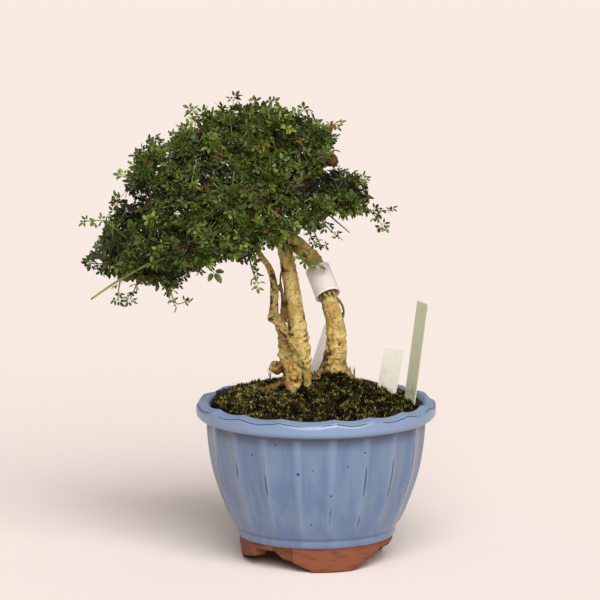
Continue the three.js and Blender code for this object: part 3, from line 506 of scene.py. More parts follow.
@dataclass(frozen=True)
class GlazedStoneware:
    """Blue glossy glaze on red stoneware, dipped and fired, with the foot left bare.

    The glaze breaks dark and thin along stretches of the ridges, is dark along a broken line round
    the rim's edge, is paler on the rim and has pinholes. A violet painted shade darkens it under the
    rim and in a thin line round the bead's top, and a paler band beside each ridge is a painted
    highlight. The bare foot is rough, orange-brown and streaked level by the potter's wheel. The UV
    map holds ridge number and profile length.

    Fields:
        groove_at: Length along the profile, in mm, of the line round the rim's edge.
        holes: Where the pinholes are, in mm of the row frame, and how large each is.
    """

    groove_at: float
    holes: Rows
    glaze: str = "#5a6e92"
    glaze_light: str = "#6c8098"
    rim: str = "#7d90ae"
    # Painted shade: the violet darkening under the rim, also laid thin round the bead's top.
    shade: str = "#47506d"
    ridge: str = "#3b4152"
    # Painted highlight: the paler band beside each ridge.
    edge: str = "#7f90aa"
    speck: str = "#2e3038"
    clay: Stops = ((0.3, "#5c3321"), (0.5, "#80462b"), (0.7, "#80462b"), (0.85, "#9d6c48"))
    flute_width: float = 33.0
    glaze_end: float = 22.4
    bead_top: float = 30.0
    beyond: float = 10.0

    def material(self) -> bpy.types.Material:
        """Returns the glaze and clay material."""
        m = Surface.start("blue_glaze_on_stoneware", 0.2, 1.52)
        place, long, flat = m.place(), m.place(along=0.06), m.place(across=0.25)
        height = m.add("SeparateXYZ", {0: place}, "Z")
        surface = m.add("UVMap", {}, "UV", uv_map="surface")
        number, length = (m.add("SeparateXYZ", {0: surface}, axis) for axis in "XY")
        names = ("wall", "rim", "shade", "bared")
        wall, rim, shade, bared = (m.add("Attribute", {}, "Fac", attribute_name=name) for name in names)
        speck = self.beyond
        for *hole, size in self.holes:
            away = m.add("VectorMath DISTANCE", {0: place, 1: tuple(hole)}, "Value")
            away = m.add("Math MULTIPLY", {0: away, 1: 1.0 / size})
            speck = m.add("Math MINIMUM", {0: away, 1: speck})
        wander, cloud, streak, broken, grit, bands = (
            m.add("TexNoise", {"Vector": where, "Scale": 1 / size, "Detail": detail})
            for where, size, detail in (
                (place, 6, 2.0), (place, 34, 3.0), (long, 9, 2.0),
                (place, 24, 3.0), (flat, 1.3, 4.0), (flat, 4, 4.0),
            )
        )
        away = m.add("Math PINGPONG", {0: number, 1: 0.5})
        away = m.add("Math MULTIPLY_ADD", {0: away, 1: self.flute_width, 2: -0.35})
        away = m.add("Math MULTIPLY_ADD", {0: wander, 1: 0.7, 2: away})
        line = m.add("MapRange", {0: away, 1: 1.0, 2: 0.3}, **SMOOTH)
        kept = m.add("MapRange", {0: broken, 1: 0.38, 2: 0.46, 3: 0.3, 4: 0.95}, **SMOOTH)
        kept = m.add("Math MULTIPLY", {0: kept, 1: bared})
        for share in (kept, wall):
            line = m.add("Math MULTIPLY", {0: line, 1: share})
        # Painted highlight: a paler band beside each ridge on the wall.
        edge = m.add("MapRange", {0: away, 1: 6.0, 2: 1.0, 4: 0.4}, **SMOOTH)
        edge = m.add("Math MULTIPLY", {0: edge, 1: wall})
        beside = m.add("Math MULTIPLY_ADD", {0: wander, 1: 0.9, 2: -self.groove_at - 0.45})
        beside = m.add("Math ABSOLUTE", {0: m.add("Math ADD", {0: length, 1: beside})})
        groove = m.add("MapRange", {0: beside, 1: 0.55, 2: 0.2}, **SMOOTH)
        gone = m.add("MapRange", {0: cloud, 1: 0.42, 2: 0.47}, **SMOOTH)
        groove = m.add("Math MULTIPLY", {0: groove, 1: gone})
        dark = m.add("Math MAXIMUM", {0: line, 1: groove})
        # Painted shade: a thin dark line where the wall meets the bead's top, in the colour of the shade
        # under the rim.
        painted_shade_at_bead = m.add("Math ABSOLUTE", {0: m.add("Math SUBTRACT", {0: height, 1: self.bead_top})})
        hole = m.add("MapRange", {0: speck, 1: 0.95, 2: 0.45}, **SMOOTH)
        tone = m.add("MapRange", {0: streak, 1: 0.34, 2: 0.64, 3: 0.2, 4: 0.85}, **SMOOTH)
        # The shade colour is painted shade under the rim and round the bead's top. The edge colour is a
        # painted highlight beside each ridge.
        tone = m.paint(
            self.glaze,
            (tone, self.glaze_light),
            (rim, self.rim), (shade, self.shade), (edge, self.edge), (dark, self.ridge),
            (painted_shade_at_bead, 2.4, 0.4, 0.55, self.shade), (hole, self.speck),
        )
        end = m.add("Math MULTIPLY_ADD", {0: wander, 1: 1.6, 2: -0.8})
        end = m.add("Math ADD", {0: height, 1: end})
        bare = m.add("MapRange", {0: end, 1: self.glaze_end + 0.3, 2: self.glaze_end - 0.3}, **SMOOTH)
        colour = m.paint(tone, (bare, m.add("ValToRGB", {0: bands}, stops=self.clay)))
        rough = m.add("Math MULTIPLY_ADD", {0: bare, 1: 0.62, 2: 0.26})
        low = m.add("Math MAXIMUM", {0: hole, 1: dark})
        grit = m.add("Math MULTIPLY", {0: grit, 1: bare})
        return m.dress((wander, 0.12), (low, -0.4), (grit, 0.5), Base_Color=colour, Roughness=rough)


@dataclass(frozen=True)
class JasmineBark:
    """Bark of an old jasmine: yellow-tan, grey-green in patches, knobbly, with dark cracks.

    Patterns follow the stem through the bark attribute: across, across, along, in mm. The
    relief attribute is how far a point stands out, and age goes from pale trunk to dark root.
    """

    pale: str = "#cdb470"
    tan: str = "#b3904c"
    lichen: str = "#938746"
    orange: str = "#b4822f"
    crack: str = "#3a2810"
    old: str = "#5c3f1c"
    pore: str = "#4e361e"

    def material(self) -> bpy.types.Material:
        """Returns the bark material."""
        m = Surface.start("jasmine_bark", 0.8, shine=0.25)
        place = m.place()
        stem = m.add("Attribute", {}, "Vector", attribute_name="bark")
        relief, age = (m.add("Attribute", {}, "Fac", attribute_name=name) for name in ("relief", "age"))
        long = m.add("VectorMath MULTIPLY", {0: stem, 1: (1.0, 1.0, 0.2)})
        short = m.add("VectorMath MULTIPLY", {0: stem, 1: (0.3, 0.3, 1.0)})
        streak, ring, cloud, patch, grain = (
            m.add("TexNoise", {"Vector": where, "Scale": 1 / size, "Detail": detail})
            for where, size, detail in (
                (long, 1.6, 4.0), (short, 1.7, 3.0), (place, 12, 4.0),
                (place, 19, 3.0), (place, 0.8, 4.0),
            )
        )
        low = m.add("SeparateXYZ", {0: place}, "Z")
        low = m.add("MapRange", {0: low, 1: 190.0, 2: 155.0, 4: 0.22}, **SMOOTH)
        low = m.add("Math ADD", {0: low, 1: cloud})
        tone = m.paint(
            self.pale,
            (cloud, 0.4, 0.62, 1.0, self.tan),
            (patch, 0.52, 0.64, 0.75, self.lichen),
            (low, 0.6, 0.85, 0.7, self.orange),
            (streak, 0.55, 0.72, 0.55, self.old),
            (ring, 0.58, 0.7, 0.6, self.crack),
            (m.add("TexVoronoi", {"Vector": short, "Scale": 1 / 2.3}), 0.24, 0.1, 0.75, self.pore),
            (age, self.old),
            (relief, -0.1, -0.75, 0.95, self.crack),
        )
        return m.dress((ring, 0.5), (streak, 0.6), (grain, 0.4), Base_Color=tone)


@dataclass(frozen=True)
class GreenTwig:
    """Young jasmine stem: smooth and green, tan or brown where it is older, by its tone."""

    tones: Stops = ((0.0, "#2f2418"), (0.35, "#5d4a2c"), (0.6, "#6d6a34"), (1.0, "#8fa03c"))

    def material(self) -> bpy.types.Material:
        """Returns the young stem's material."""
        m = Surface.start("green_jasmine_twig", 0.55)
        tone = m.add("Attribute", {}, "Fac", attribute_name="tone")
        noise = m.add("TexNoise", {"Vector": m.place(), "Scale": 1 / 14})
        return m.dress((noise, 0.08), Base_Color=m.add("ValToRGB", {0: tone}, stops=self.tones))


@dataclass(frozen=True)
class JasmineLeaf:
    """Jasmine leaf: a waxy upper side, dark green with a paler midrib, yellow-green when young.

    The UV map runs along and across each leaflet. The tone attribute is one number for each
    leaf, from darkest through young to withered; the darkest tones are painted shade on leaves
    far inside the crown.
    """

    tones: Stops = (
        (0.0, "#0b0f04"), (0.3, "#25320b"), (0.6, "#495a1a"), (0.8, "#6b7a2a"),
        (0.95, "#98a03e"), (0.97, "#8a5a30"), (1.0, "#4a2a1c"),
    )
    rib: str = "#8f9c4e"

    def material(self) -> bpy.types.Material:
        """Returns the leaf material."""
        m = Surface.start("waxy_jasmine_leaf", 0.38, 1.45, 0.3)
        tone = m.add("Attribute", {}, "Fac", attribute_name="tone")
        across = m.add("SeparateXYZ", {0: m.add("UVMap", {}, "UV", uv_map="surface")}, "Y")
        across = m.add("Math ABSOLUTE", {0: m.add("Math SUBTRACT", {0: across, 1: 0.5})})
        noise = m.add("TexNoise", {"Vector": m.place(), "Scale": 1 / 2.2})
        rib = m.add("MapRange", {0: across, 1: 0.07, 2: 0.02, 4: 0.3}, **SMOOTH)
        rib = m.add("Math MULTIPLY", {0: rib, 1: tone})
        colour = m.add("ValToRGB", {0: tone}, stops=self.tones)
        colour = m.paint(colour, (noise, 0.4, 0.8, 0.2, self.rib), (rib, self.rib))
        return m.dress((noise, 0.25), Base_Color=colour)


@dataclass(frozen=True)
class CushionMoss:
    """Living moss: olive cushions, bright tips and dead brown patches, near black in its hollows as painted
    shade.
    """

    stops: Stops = ((0.0, "#080603"), (0.4, "#1b1709"), (0.7, "#575220"), (1.0, "#cfc56a"))
    dead: str = "#3f2c1a"

    def material(self) -> bpy.types.Material:
        """Returns the moss material. The lift attribute is how high a point stands in it."""
        m = Surface.start("cushion_moss", 0.95, 1.4, 0.12)
        place = m.place()
        lift = m.add("Attribute", {}, "Fac", attribute_name="lift")
        patch, fine, dead = (
            m.add("TexNoise", {"Vector": place, "Scale": 1 / size, "Detail": detail})
            for size, detail in ((9, 3.0), (1.1, 4.0), (15, 4.0))
        )
        bright = m.add("MapRange", {0: patch, 1: 0.35, 2: 0.65, 3: -0.22, 4: 0.3})
        tone = m.add("ValToRGB", {0: m.add("Math ADD", {0: lift, 1: bright})}, stops=self.stops)
        return m.dress((fine, 0.9), Base_Color=m.paint(tone, (dead, 0.56, 0.66, 0.7, self.dead)))


@dataclass(frozen=True)
class GranularSoil:
    """Fired clay grains for bonsai: brown, dull, about 4 mm wide."""

    dark: str = "#3f2f22"
    light: str = "#8a6a4a"
    grain: float = 4.0

    def material(self) -> bpy.types.Material:
        """Returns the soil material."""
        m = Surface.start("granular_bonsai_soil", 0.95, 1.4)
        cells = {"Vector": m.place(), "Scale": 1 / self.grain}
        share = m.add("SeparateXYZ", {0: m.add("TexVoronoi", cells, "Color")})
        tone = m.paint(self.dark, (share, self.light))
        return m.dress((m.add("TexVoronoi", cells), -1.2), Base_Color=tone)


@dataclass(frozen=True)
class MouldedPlastic:
    """Moulded sheet plastic: an even colour that soil and water have dulled in faint streaks.

    Fields:
        stain: The colour of the dirt.
        stained_below: Height in mm under which the dirt gathers.
        painted_glow: Painted light: how strongly the sheet glows in its own colour.
    """

    name: str
    colour: str
    stain: str
    roughness: float = 0.4
    stained_below: float = 165.0
    painted_glow: float = 0.0

    def material(self) -> bpy.types.Material:
        """Returns the plastic material."""
        m = Surface.start(self.name, self.roughness, 1.49)
        place = m.place()
        cloud = m.add("TexNoise", {"Vector": place, "Scale": 1 / 9, "Detail": 5.0})
        top, base = self.stained_below + 6.0, self.stained_below - 14.0
        low = m.add("SeparateXYZ", {0: place}, "Z")
        low = m.add("MapRange", {0: low, 1: top, 2: base, 3: 0.12, 4: 0.6}, **SMOOTH)
        dirt = m.add("MapRange", {0: cloud, 1: 0.46, 2: 0.7}, **SMOOTH)
        tone = m.paint(self.colour, (m.add("Math MULTIPLY", {0: dirt, 1: low}), self.stain))
        # Painted light: emission makes the sheet glow in its own colour.
        m.shader.inputs["Emission Strength"].default_value = self.painted_glow
        return m.dress((cloud, 0.1), Base_Color=tone, Emission_Color=tone)


@dataclass(frozen=True)
class FeedingCake:
    """Pressed oil-seed cake: nearly black, crumbly and matt, with paler husks."""

    dark: str = "#17110d"
    husk: str = "#3d2f22"

    def material(self) -> bpy.types.Material:
        """Returns the cake's material."""
        m = Surface.start("pressed_feeding_cake", 0.92, 1.45)
        noise = m.add("TexNoise", {"Vector": m.place(), "Scale": 1 / 1.1, "Detail": 4.0})
        return m.dress((noise, 0.6), Base_Color=m.paint(self.dark, (noise, 0.5, 0.68, 1.0, self.husk)))


@dataclass(frozen=True)
class PalePaper:
    """The plain pale ground of the studio."""

    colour: str = "#f6eae2"

    def material(self) -> bpy.types.Material:
        """Returns the ground's material."""
        m = Surface.start("pale_studio_ground", 0.95, shine=0.0)
        m.shader.inputs["Base Color"].default_value = linear(self.colour)
        return m.material


class Slot(Enum):
    """Material slots."""

    POT = "blue_glaze_over_red_clay"
    NET = "black_net"
    SOIL = "bonsai_soil"
    MOSS = "moss"
    BARK = "jasmine_bark"
    WHITE = "white_plastic"
    GREEN = "pale_green_plastic"
    CAKE = "feeding_cake"
    LEAF = "jasmine_leaf"


def settle(made: bpy.types.Object, slot: Slot, finishes: Sequence, *replaced: str) -> bpy.types.Object:
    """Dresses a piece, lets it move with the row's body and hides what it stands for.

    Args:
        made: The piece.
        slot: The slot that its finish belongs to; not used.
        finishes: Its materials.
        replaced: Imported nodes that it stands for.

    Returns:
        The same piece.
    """
    for finish in finishes:
        made.data.materials.append(finish)
    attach(made, BODY)
    if replaced:
        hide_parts(*replaced)
    log.info("%s: %d vertices", made.name, len(made.data.vertices))
    return made


# Pot


def aside(azimuth: Array, middle: Array) -> Array:
    """Returns how many degrees azimuths lie beside middles, from -180 to 180."""
    return (azimuth - middle + 180.0) % 360.0 - 180.0


def lobes(azimuth: Array, ridges: Sequence[float]) -> Array:
    """Counts ridges round the pot: a whole number at each, blended evenly between them."""
    return np.interp(azimuth, [*ridges, ridges[0] + 360.0], np.arange(len(ridges) + 1))


@dataclass(frozen=True)
class Pot:
    """Round fluted pot with a pressed rim, a foot ring and three feet cut from it.

    Flutes and rim scoops are pressed by hand, so their ridges stand at uneven azimuths. A ring
    of the outside is a row of radius and height in mm, share of the flutes' depth, and how far
    the rim's scoops press it down and out in mm.

    Fields:
        bead: The glazed bead over the foot.
        wall: The fluted wall.
        rim: The rolled rim from its underside over the top to its inner edge.
        inside: From the rim down to the drain hole and out over the underside.
        counts: How many rings bead, wall and rim get, and at which of the rim's its edge lies.
        recess: Azimuths and depth of the recess over the front foot.
        specks: Azimuth, height and size of each pinhole in the glaze.
        bared: Azimuth, lower and upper end of each stretch of ridge where the glaze is thin.
    """

    placement: Placement
    bead: Rows = ((67.3, 22, 0, 0, 0), (68.6, 22.9, 0, 0, 0), (69.6, 25.2, 0, 0, 0), (69.6, 29, 0, 0, 0))
    wall: Rows = (
        (69.6, 29.2, 0, 0, 0), (75.9, 39, 0.8, 0, 0), (83.4, 57, 1, 0, 0), (91.2, 82, 1, 0, 0),
        (94.8, 104, 1, 0, 0), (96, 118, 1, 0, 0), (96, 124.5, 0.9, 0, 0),
    )
    rim: Rows = (
        (97.4, 125.3, 0.4, 0, 0), (101.2, 126, 0, 0, 0), (104.4, 129, 0, 0, 0),
        (105, 133.5, 0, 0, 0), (104.6, 137.8, 0, 2.4, 0), (102.6, 140.3, 0, 2.4, 0.2),
        (99.5, 141.2, 0, 2.2, 0.4), (96.2, 142, 0, 1.8, 0.8), (93.4, 139.6, 0, 1.2, 1),
    )
    inside: Rows = (
        (92.6, 137, 0, 0.6, 0.5), (91.8, 134, 0, 0, 0), (89.5, 112, 0, 0, 0), (76, 54, 0, 0, 0),
        (60, 23, 0, 0, 0), (14, 23, 0, 0, 0), (13, 22, 0, 0, 0), (13, 17, 0, 0, 0),
        (14, 16, 0, 0, 0), (52, 16, 0, 0, 0),
    )
    counts: tuple[int, int, int, int] = (9, 44, 36, 20)
    bared_width: float = 4.0
    rubbing: float = 0.35
    foot_round: float = 0.8
    # How strongly the painted shade under the rim darkens the glaze.
    shade_depth: float = 0.75
    ridges: tuple[float, ...] = (
        -84, -66, -47.5, -28.5, -10, 8.4, 27.5, 45.2, 64, 83,
        102, 121, 140, 159, 178, 197, 216, 235, 255,
    )
    notches: tuple[float, ...] = (
        -84, -60, -40, -18, 9.5, 28, 50, 71, 92, 112, 131, 152, 172, 193, 212, 233, 254,
    )
    flute_depth: float = 2.4
    columns: int = 640
    foot_top: float = 22.0
    foot_radius: float = 65.0
    foot_spread: float = 2.3
    foot_inner: float = 54.0
    underside: float = 16.0
    front_left_gap: Rows = (
        (-95, 0), (-78, 5), (-54.5, 9.4), (-53.5, 17.3), (-35.5, 17.3),
        (-27.5, 10.7), (-19, 9), (-5, 2.2), (-4, 0),
    )
    right_gap: Rows = (
        (28.5, 0), (34.5, 3), (51.5, 12.4), (59, 16.4), (92, 16.4), (100, 9), (113, 3), (116, 0),
    )
    recess: Point = (-36.0, -18.0, 3.0)
    specks: Rows = (
        (-9.8, 92, 1.9), (-22, 118.5, 1.1), (-36.5, 106, 1.2), (8.2, 71.5, 1.3), (26.2, 111, 1),
        (17.5, 99.5, 1), (-1.6, 95, 0.8), (-3, 46.5, 1.2), (64, 92, 1), (120, 88, 1.3),
        (171, 104, 1.1), (222, 70, 1.4),
    )
    bared: Rows = (
        (-28.5, 71, 106), (27.5, 72, 97), (27.5, 42, 52), (45.2, 68, 100), (8.4, 46, 60),
        (64, 60, 112), (-66, 52, 104), (-47.5, 84, 96), (102, 70, 98), (140, 58, 84),
        (159, 88, 110), (197, 64, 100), (235, 76, 104), (255, 50, 70),
    )

    def gap_height(self, azimuth: Array) -> Array:
        """Height of the foot ring's lower edge: 0 under a foot, rising under each gap's roof.

        Args:
            azimuth: Degrees round the pot.

        Returns:
            Heights in mm.
        """
        height = np.zeros_like(azimuth)
        for roof, shift in ((self.front_left_gap, 0), (self.right_gap, 0), (self.right_gap, 120)):
            angles, heights = np.array(roof, float).T
            away = (azimuth - shift - angles[0]) % 360.0
            height = np.maximum(height, np.interp(away, angles - angles[0], heights, 0.0, 0.0))
        return height

    def feet(self, azimuth: Array) -> tuple[Array, Array]:
        """Works out the foot ring's outer and inner walls, from the gap's height to the pot.

        Args:
            azimuth: Degrees round the pot.

        Returns:
            The outer wall's rings upwards and the inner wall's rings downwards.
        """
        edge = np.minimum(self.gap_height(azimuth), self.foot_top - 1.5)[None]
        rise = np.linspace(0.0, 1.0, 10)[:, None]
        z = edge + (self.foot_top - edge) * rise
        start, end, depth = self.recess
        inset = smooth_step(start, start + 1.5, azimuth) * smooth_step(end, end - 1.5, azimuth)
        inset = inset[None] * depth * smooth_step(1.0, 0.9, rise)
        rubbed = self.rubbing * lattice_noise(around(azimuth[None], self.foot_radius, z), 5.0, 61)
        r = self.foot_radius + self.foot_spread * z / self.foot_top - self.foot_round * np.exp(-rise * 9.0)
        outer = around(azimuth[None], r - inset + rubbed * np.sin(np.pi * rise), z)
        edge = np.minimum(edge, self.underside - 0.5)
        down = np.linspace(1.0, 0.0, 6)[:, None]
        z = edge + (self.underside - edge) * down
        r = self.foot_inner - 2.0 * z / self.underside + self.foot_round * np.exp(-down * 9.0)
        return outer, around(azimuth[None], r, z)

    def rings(self) -> tuple[Array, Array, float]:
        """Works out the pot's surface as rings that close round the wall.

        Scoops are arcs that meet in sharp ridges: s = |sin(pi x ridge number)|. A ring's
        radius is r - s flute depth + t spread and its height z - t drop, s counting the
        wall's ridges and t the rim's notches.

        Returns:
            Points as rings, columns and coordinates, pattern coordinates one longer each way
            (ridge number and length along the profile in mm), and the length at the rim's edge.
        """
        azimuth = self.ridges[0] + 360.0 * np.arange(self.columns + 1) / self.columns
        number = lobes(azimuth, self.ridges)
        azimuth = azimuth[:-1]
        parts = [np.insert(np.array(part, float), 2, 0.0, 1) for part in (self.bead, self.wall, self.rim)]
        rows = [smooth_curve(part, count)[:, [0, 1, 3, 4, 5]] for part, count in zip(parts, self.counts)]
        rows.append(np.array(self.inside))
        r, z, depth, drop, spread = (column[:, None] for column in np.vstack(rows).T)
        scoop = np.abs(np.sin(np.pi * number[:-1]))[None]
        press = np.abs(np.sin(np.pi * lobes(azimuth, self.notches)))[None]
        body = around(azimuth[None], r - scoop * depth * self.flute_depth + press * spread, z - press * drop)
        outer, inner = self.feet(azimuth)
        points = np.concatenate([outer, body, inner])
        length = path_length(points[:, 0])
        edge = len(outer) + self.counts[0] + self.counts[1] + self.counts[3]
        length = np.append(length, length[-1] + self.foot_radius - self.foot_inner)
        pattern = np.stack(np.broadcast_arrays(number[None], length[:, None]), -1)
        return points, pattern, float(length[edge])

    def build(self) -> bpy.types.Object:
        """Builds and dresses the pot. Its attributes tell wall, rim and the painted shade under the rim."""
        points, pattern, edge = self.rings()
        made = grid_skin(points, pattern, loop=True)
        flat = points.reshape(-1, 3)
        height, reach = flat[:, 2], np.hypot(flat[:, 0], flat[:, 1])
        outside = smooth_step(66.0, 69.0, reach)
        made.values["wall"] = outside * smooth_step(34.0, 44.0, height) * smooth_step(125.0, 121.0, height)
        made.values["rim"] = smooth_step(124.0, 130.0, height)
        # Painted shade: a darker band on the outside just under the rim.
        shade = smooth_step(112.0, 122.0, height) * smooth_step(128.0, 125.0, height)
        made.values["shade"] = self.shade_depth * outside * shade
        angle = np.degrees(np.arctan2(flat[:, 0], -flat[:, 1]))
        azimuth, low, high = (column[:, None] for column in np.array(self.bared).T)
        near = np.abs(aside(angle, azimuth)) < self.bared_width
        near = near * smooth_step(low - 2.0, low + 2.0, height) * smooth_step(high + 2.0, high - 2.0, height)
        made.values["bared"] = near.max(axis=0)
        azimuth, level, size = np.array(self.specks).T
        away = np.hypot(aside(angle, azimuth[:, None]) * 1.6, height - level[:, None])
        away[:, reach < 66.0] = np.inf
        holes = flat[away.argmin(axis=1)] + self.placement.origin
        holes = tuple((*place, float(wide)) for place, wide in zip(holes.tolist(), size))
        pot = made.to_object("fluted_pot", self.placement)
        return settle(pot, Slot.POT, [GlazedStoneware(edge, holes).material()], "pot")


# Moss


@dataclass(frozen=True)
class Mound:
    """The rounded heap of soil and moss in the pot."""

    edge_height: float = 138.0
    rise: float = 15.0
    radius: float = 95.0
    roundness: float = 1.2
    centre: tuple[float, float] = (-4.0, 5.0)
    swells: Rows = ((14, 0, 16, 22), (-6, -19, 5, 9))
    relief: float = 1.6
    waves: Rows = ((0.33, 0.11, 0), (-0.17, 0.41, 1.3), (0.23, 0.29, 4))

    def height(self, x: Array, y: Array) -> Array:
        """Height over a point: edge + rise (1 - d squared)^1.2 + swells e^(-s squared).

        Args:
            x: Places in mm.
            y: Places in mm.

        Returns:
            Heights in mm.
        """
        d = np.hypot(x - self.centre[0], y - self.centre[1]) / self.radius
        height = self.edge_height + self.rise * np.maximum(1.0 - d * d, 0.0) ** self.roundness
        for middle, depth, rise, radius in self.swells:
            height = height + rise * np.exp(-((x - middle) ** 2 + (y - depth) ** 2) / radius**2)
        return height

    def cushions(self, x: Array, y: Array) -> Array:
        """Broad cushions: the sum of three crossing sine waves of 15 to 30 mm."""
        return self.relief * 0.5 * sum(np.sin(a * x + b * y + start) for a, b, start in self.waves)


@dataclass(frozen=True)
class MossCarpet:
    """Moss over the mound: a lumpy carpet set with small upright tufts and a few long hairs."""

    placement: Placement
    mound: Mound
    edge: float = 91.1
    thickness: float = 6.0
    rings: int = 90
    columns: int = 320
    tufts: int = 9500
    blades_per_tuft: int = 6
    blade_length: float = 2.5
    blade_width: float = 0.5
    hair_roots: Rows = ((-72, 4), (-67, 10), (29, 10), (34, 12), (-40, 30))
    hairs_per_root: int = 9
    hair_length: float = 9.0
    fresh_middle: tuple[float, float] = (-62.0, -4.0)
    fresh_radius: float = 26.0
    freshness: float = 0.28
    lump_height: float = 3.4
    seed: int = 31

    def lumps(self, points: Array) -> Array:
        """Lumps 8, 3.5 and 1.4 mm wide, rounded upwards.

        Args:
            points: Points on the mound in mm.

        Returns:
            How high each point stands between its lumps, from 0 to 1.
        """
        flat = points * np.array([1.0, 1.0, 0.0])
        sizes = ((8.0, 0.3, 5), (3.5, 0.3, 6), (1.4, 0.14, 7))
        total = sum(share * lattice_noise(flat, size, seed) for size, share, seed in sizes)
        return np.clip(0.5 + total, 0.0, 1.0)

    def surface(self, r: Array, azimuth: Array) -> tuple[Array, Array]:
        """The moss's upper surface: mound + cushions + lumps, fading at the pot.

        Args:
            r: Distances from the pot's axis in mm.
            azimuth: Degrees round it.

        Returns:
            Points in mm and how high each stands between its lumps.
        """
        flat = around(azimuth, r, np.zeros(1))
        x, y = flat[..., 0], flat[..., 1]
        lift = self.lumps(flat)
        fade = smooth_step(self.edge, self.edge - 5.0, r)
        flat[..., 2] = self.mound.height(x, y) + self.mound.cushions(x, y) * fade
        flat[..., 2] += self.lump_height * (lift - 0.5) * fade
        return flat, lift

    def fresh(self, points: Array) -> Array:
        """How much brighter the moss is towards its left side: a bell 26 mm wide."""
        away = np.hypot(points[:, 0] - self.fresh_middle[0], points[:, 1] - self.fresh_middle[1])
        return self.freshness * np.exp(-((away / self.fresh_radius) ** 2))

    def carpet(self) -> Skin:
        """Returns the carpet: rings out over the top, down its edge and in over its underside."""
        azimuth = 360.0 * np.arange(self.columns) / self.columns
        reach = np.linspace(0.0, 1.0, self.rings)[1:, None] * self.edge
        top, _ = self.surface(reach, azimuth[None])
        below = np.array([self.edge, self.edge * 0.66, self.edge * 0.33, 1.0])[:, None]
        under = around(azimuth[None], below, np.zeros(1))
        under[..., 2] = self.mound.height(under[..., 0], under[..., 1]) - self.thickness
        made = grid_skin(np.concatenate([top, under]))
        # The carpet darkens in its hollows: painted shade.
        made.values["lift"] = self.lumps(made.points) * 0.5 + self.fresh(made.points)
        return made

    def blades(self, roots: Array, count: int, length: float, lean: float) -> Skin:
        """Returns blades of two triangles that lean out of each root: root, two sides, tip.

        Args:
            roots: Where the tufts stand.
            count: How many blades a tuft has.
            length: A blade's middle length in mm.
            lean: How far the blades lean out for their height.

        Returns:
            The blades as one skin.
        """
        random = np.random.default_rng(self.seed + count)
        shape = (len(roots), count)
        turn = 2 * np.pi * random.random(shape)
        out = lean * random.random(shape)
        size = length * (0.5 + 0.8 * random.random(shape)) * (0.6 + 0.8 * random.random((len(roots), 1)))
        way = unit(np.stack([np.cos(turn) * out, np.sin(turn) * out, np.ones(shape)], -1)) * size[..., None]
        side = np.stack([-np.sin(turn), np.cos(turn), np.zeros(shape)], -1) * self.blade_width / 2
        root = roots[:, None] + way * 0.05 - UP * 0.3
        middle = root + way * 0.5 + UP * 0.1
        points = np.stack([root, middle + side, root + way, middle - side], axis=2).reshape(-1, 3)
        start = 4 * np.arange(len(roots) * count)[:, None]
        faces = np.vstack([start + np.array([0, 1, 2]), start + np.array([0, 2, 3])])
        # Blades darken from tip to root; the dark at their roots is partly painted shade.
        lift = np.tile(np.array([0.15, 0.6, 1.0, 0.6]), len(start))
        bright = 0.1 + random.random((len(roots), 1)) ** 2 + 0.25 * random.random(shape)
        lift = lift * np.repeat(bright.ravel(), 4) + self.fresh(points)
        return Skin(points, faces, values={"lift": lift})

    def tuft_skin(self) -> Skin:
        """Returns the short tufts spread over the carpet and the long hairs at their roots."""
        random = np.random.default_rng(self.seed)
        r = self.edge * np.sqrt(random.random(self.tufts)) * 0.985
        short, _ = self.surface(r, 360.0 * random.random(self.tufts))
        x, y = np.array(self.hair_roots, float).T
        long, _ = self.surface(np.hypot(x, y), np.degrees(np.arctan2(x, -y)))
        tufts = self.blades(short, self.blades_per_tuft, self.blade_length, 1.1)
        return joined([tufts, self.blades(long, self.hairs_per_root, self.hair_length, 0.5)])

    def build(self) -> None:
        """Builds and dresses the carpet and its tufts."""
        finish = CushionMoss().material()
        pieces = (("moss_carpet", self.carpet(), ("moss",)), ("moss_tufts", self.tuft_skin(), ()))
        for name, skin, replaced in pieces:
            made = skin.to_object(name, self.placement, smooth=not name.endswith("tufts"))
            settle(made, Slot.MOSS, [finish], *replaced)


# Wood


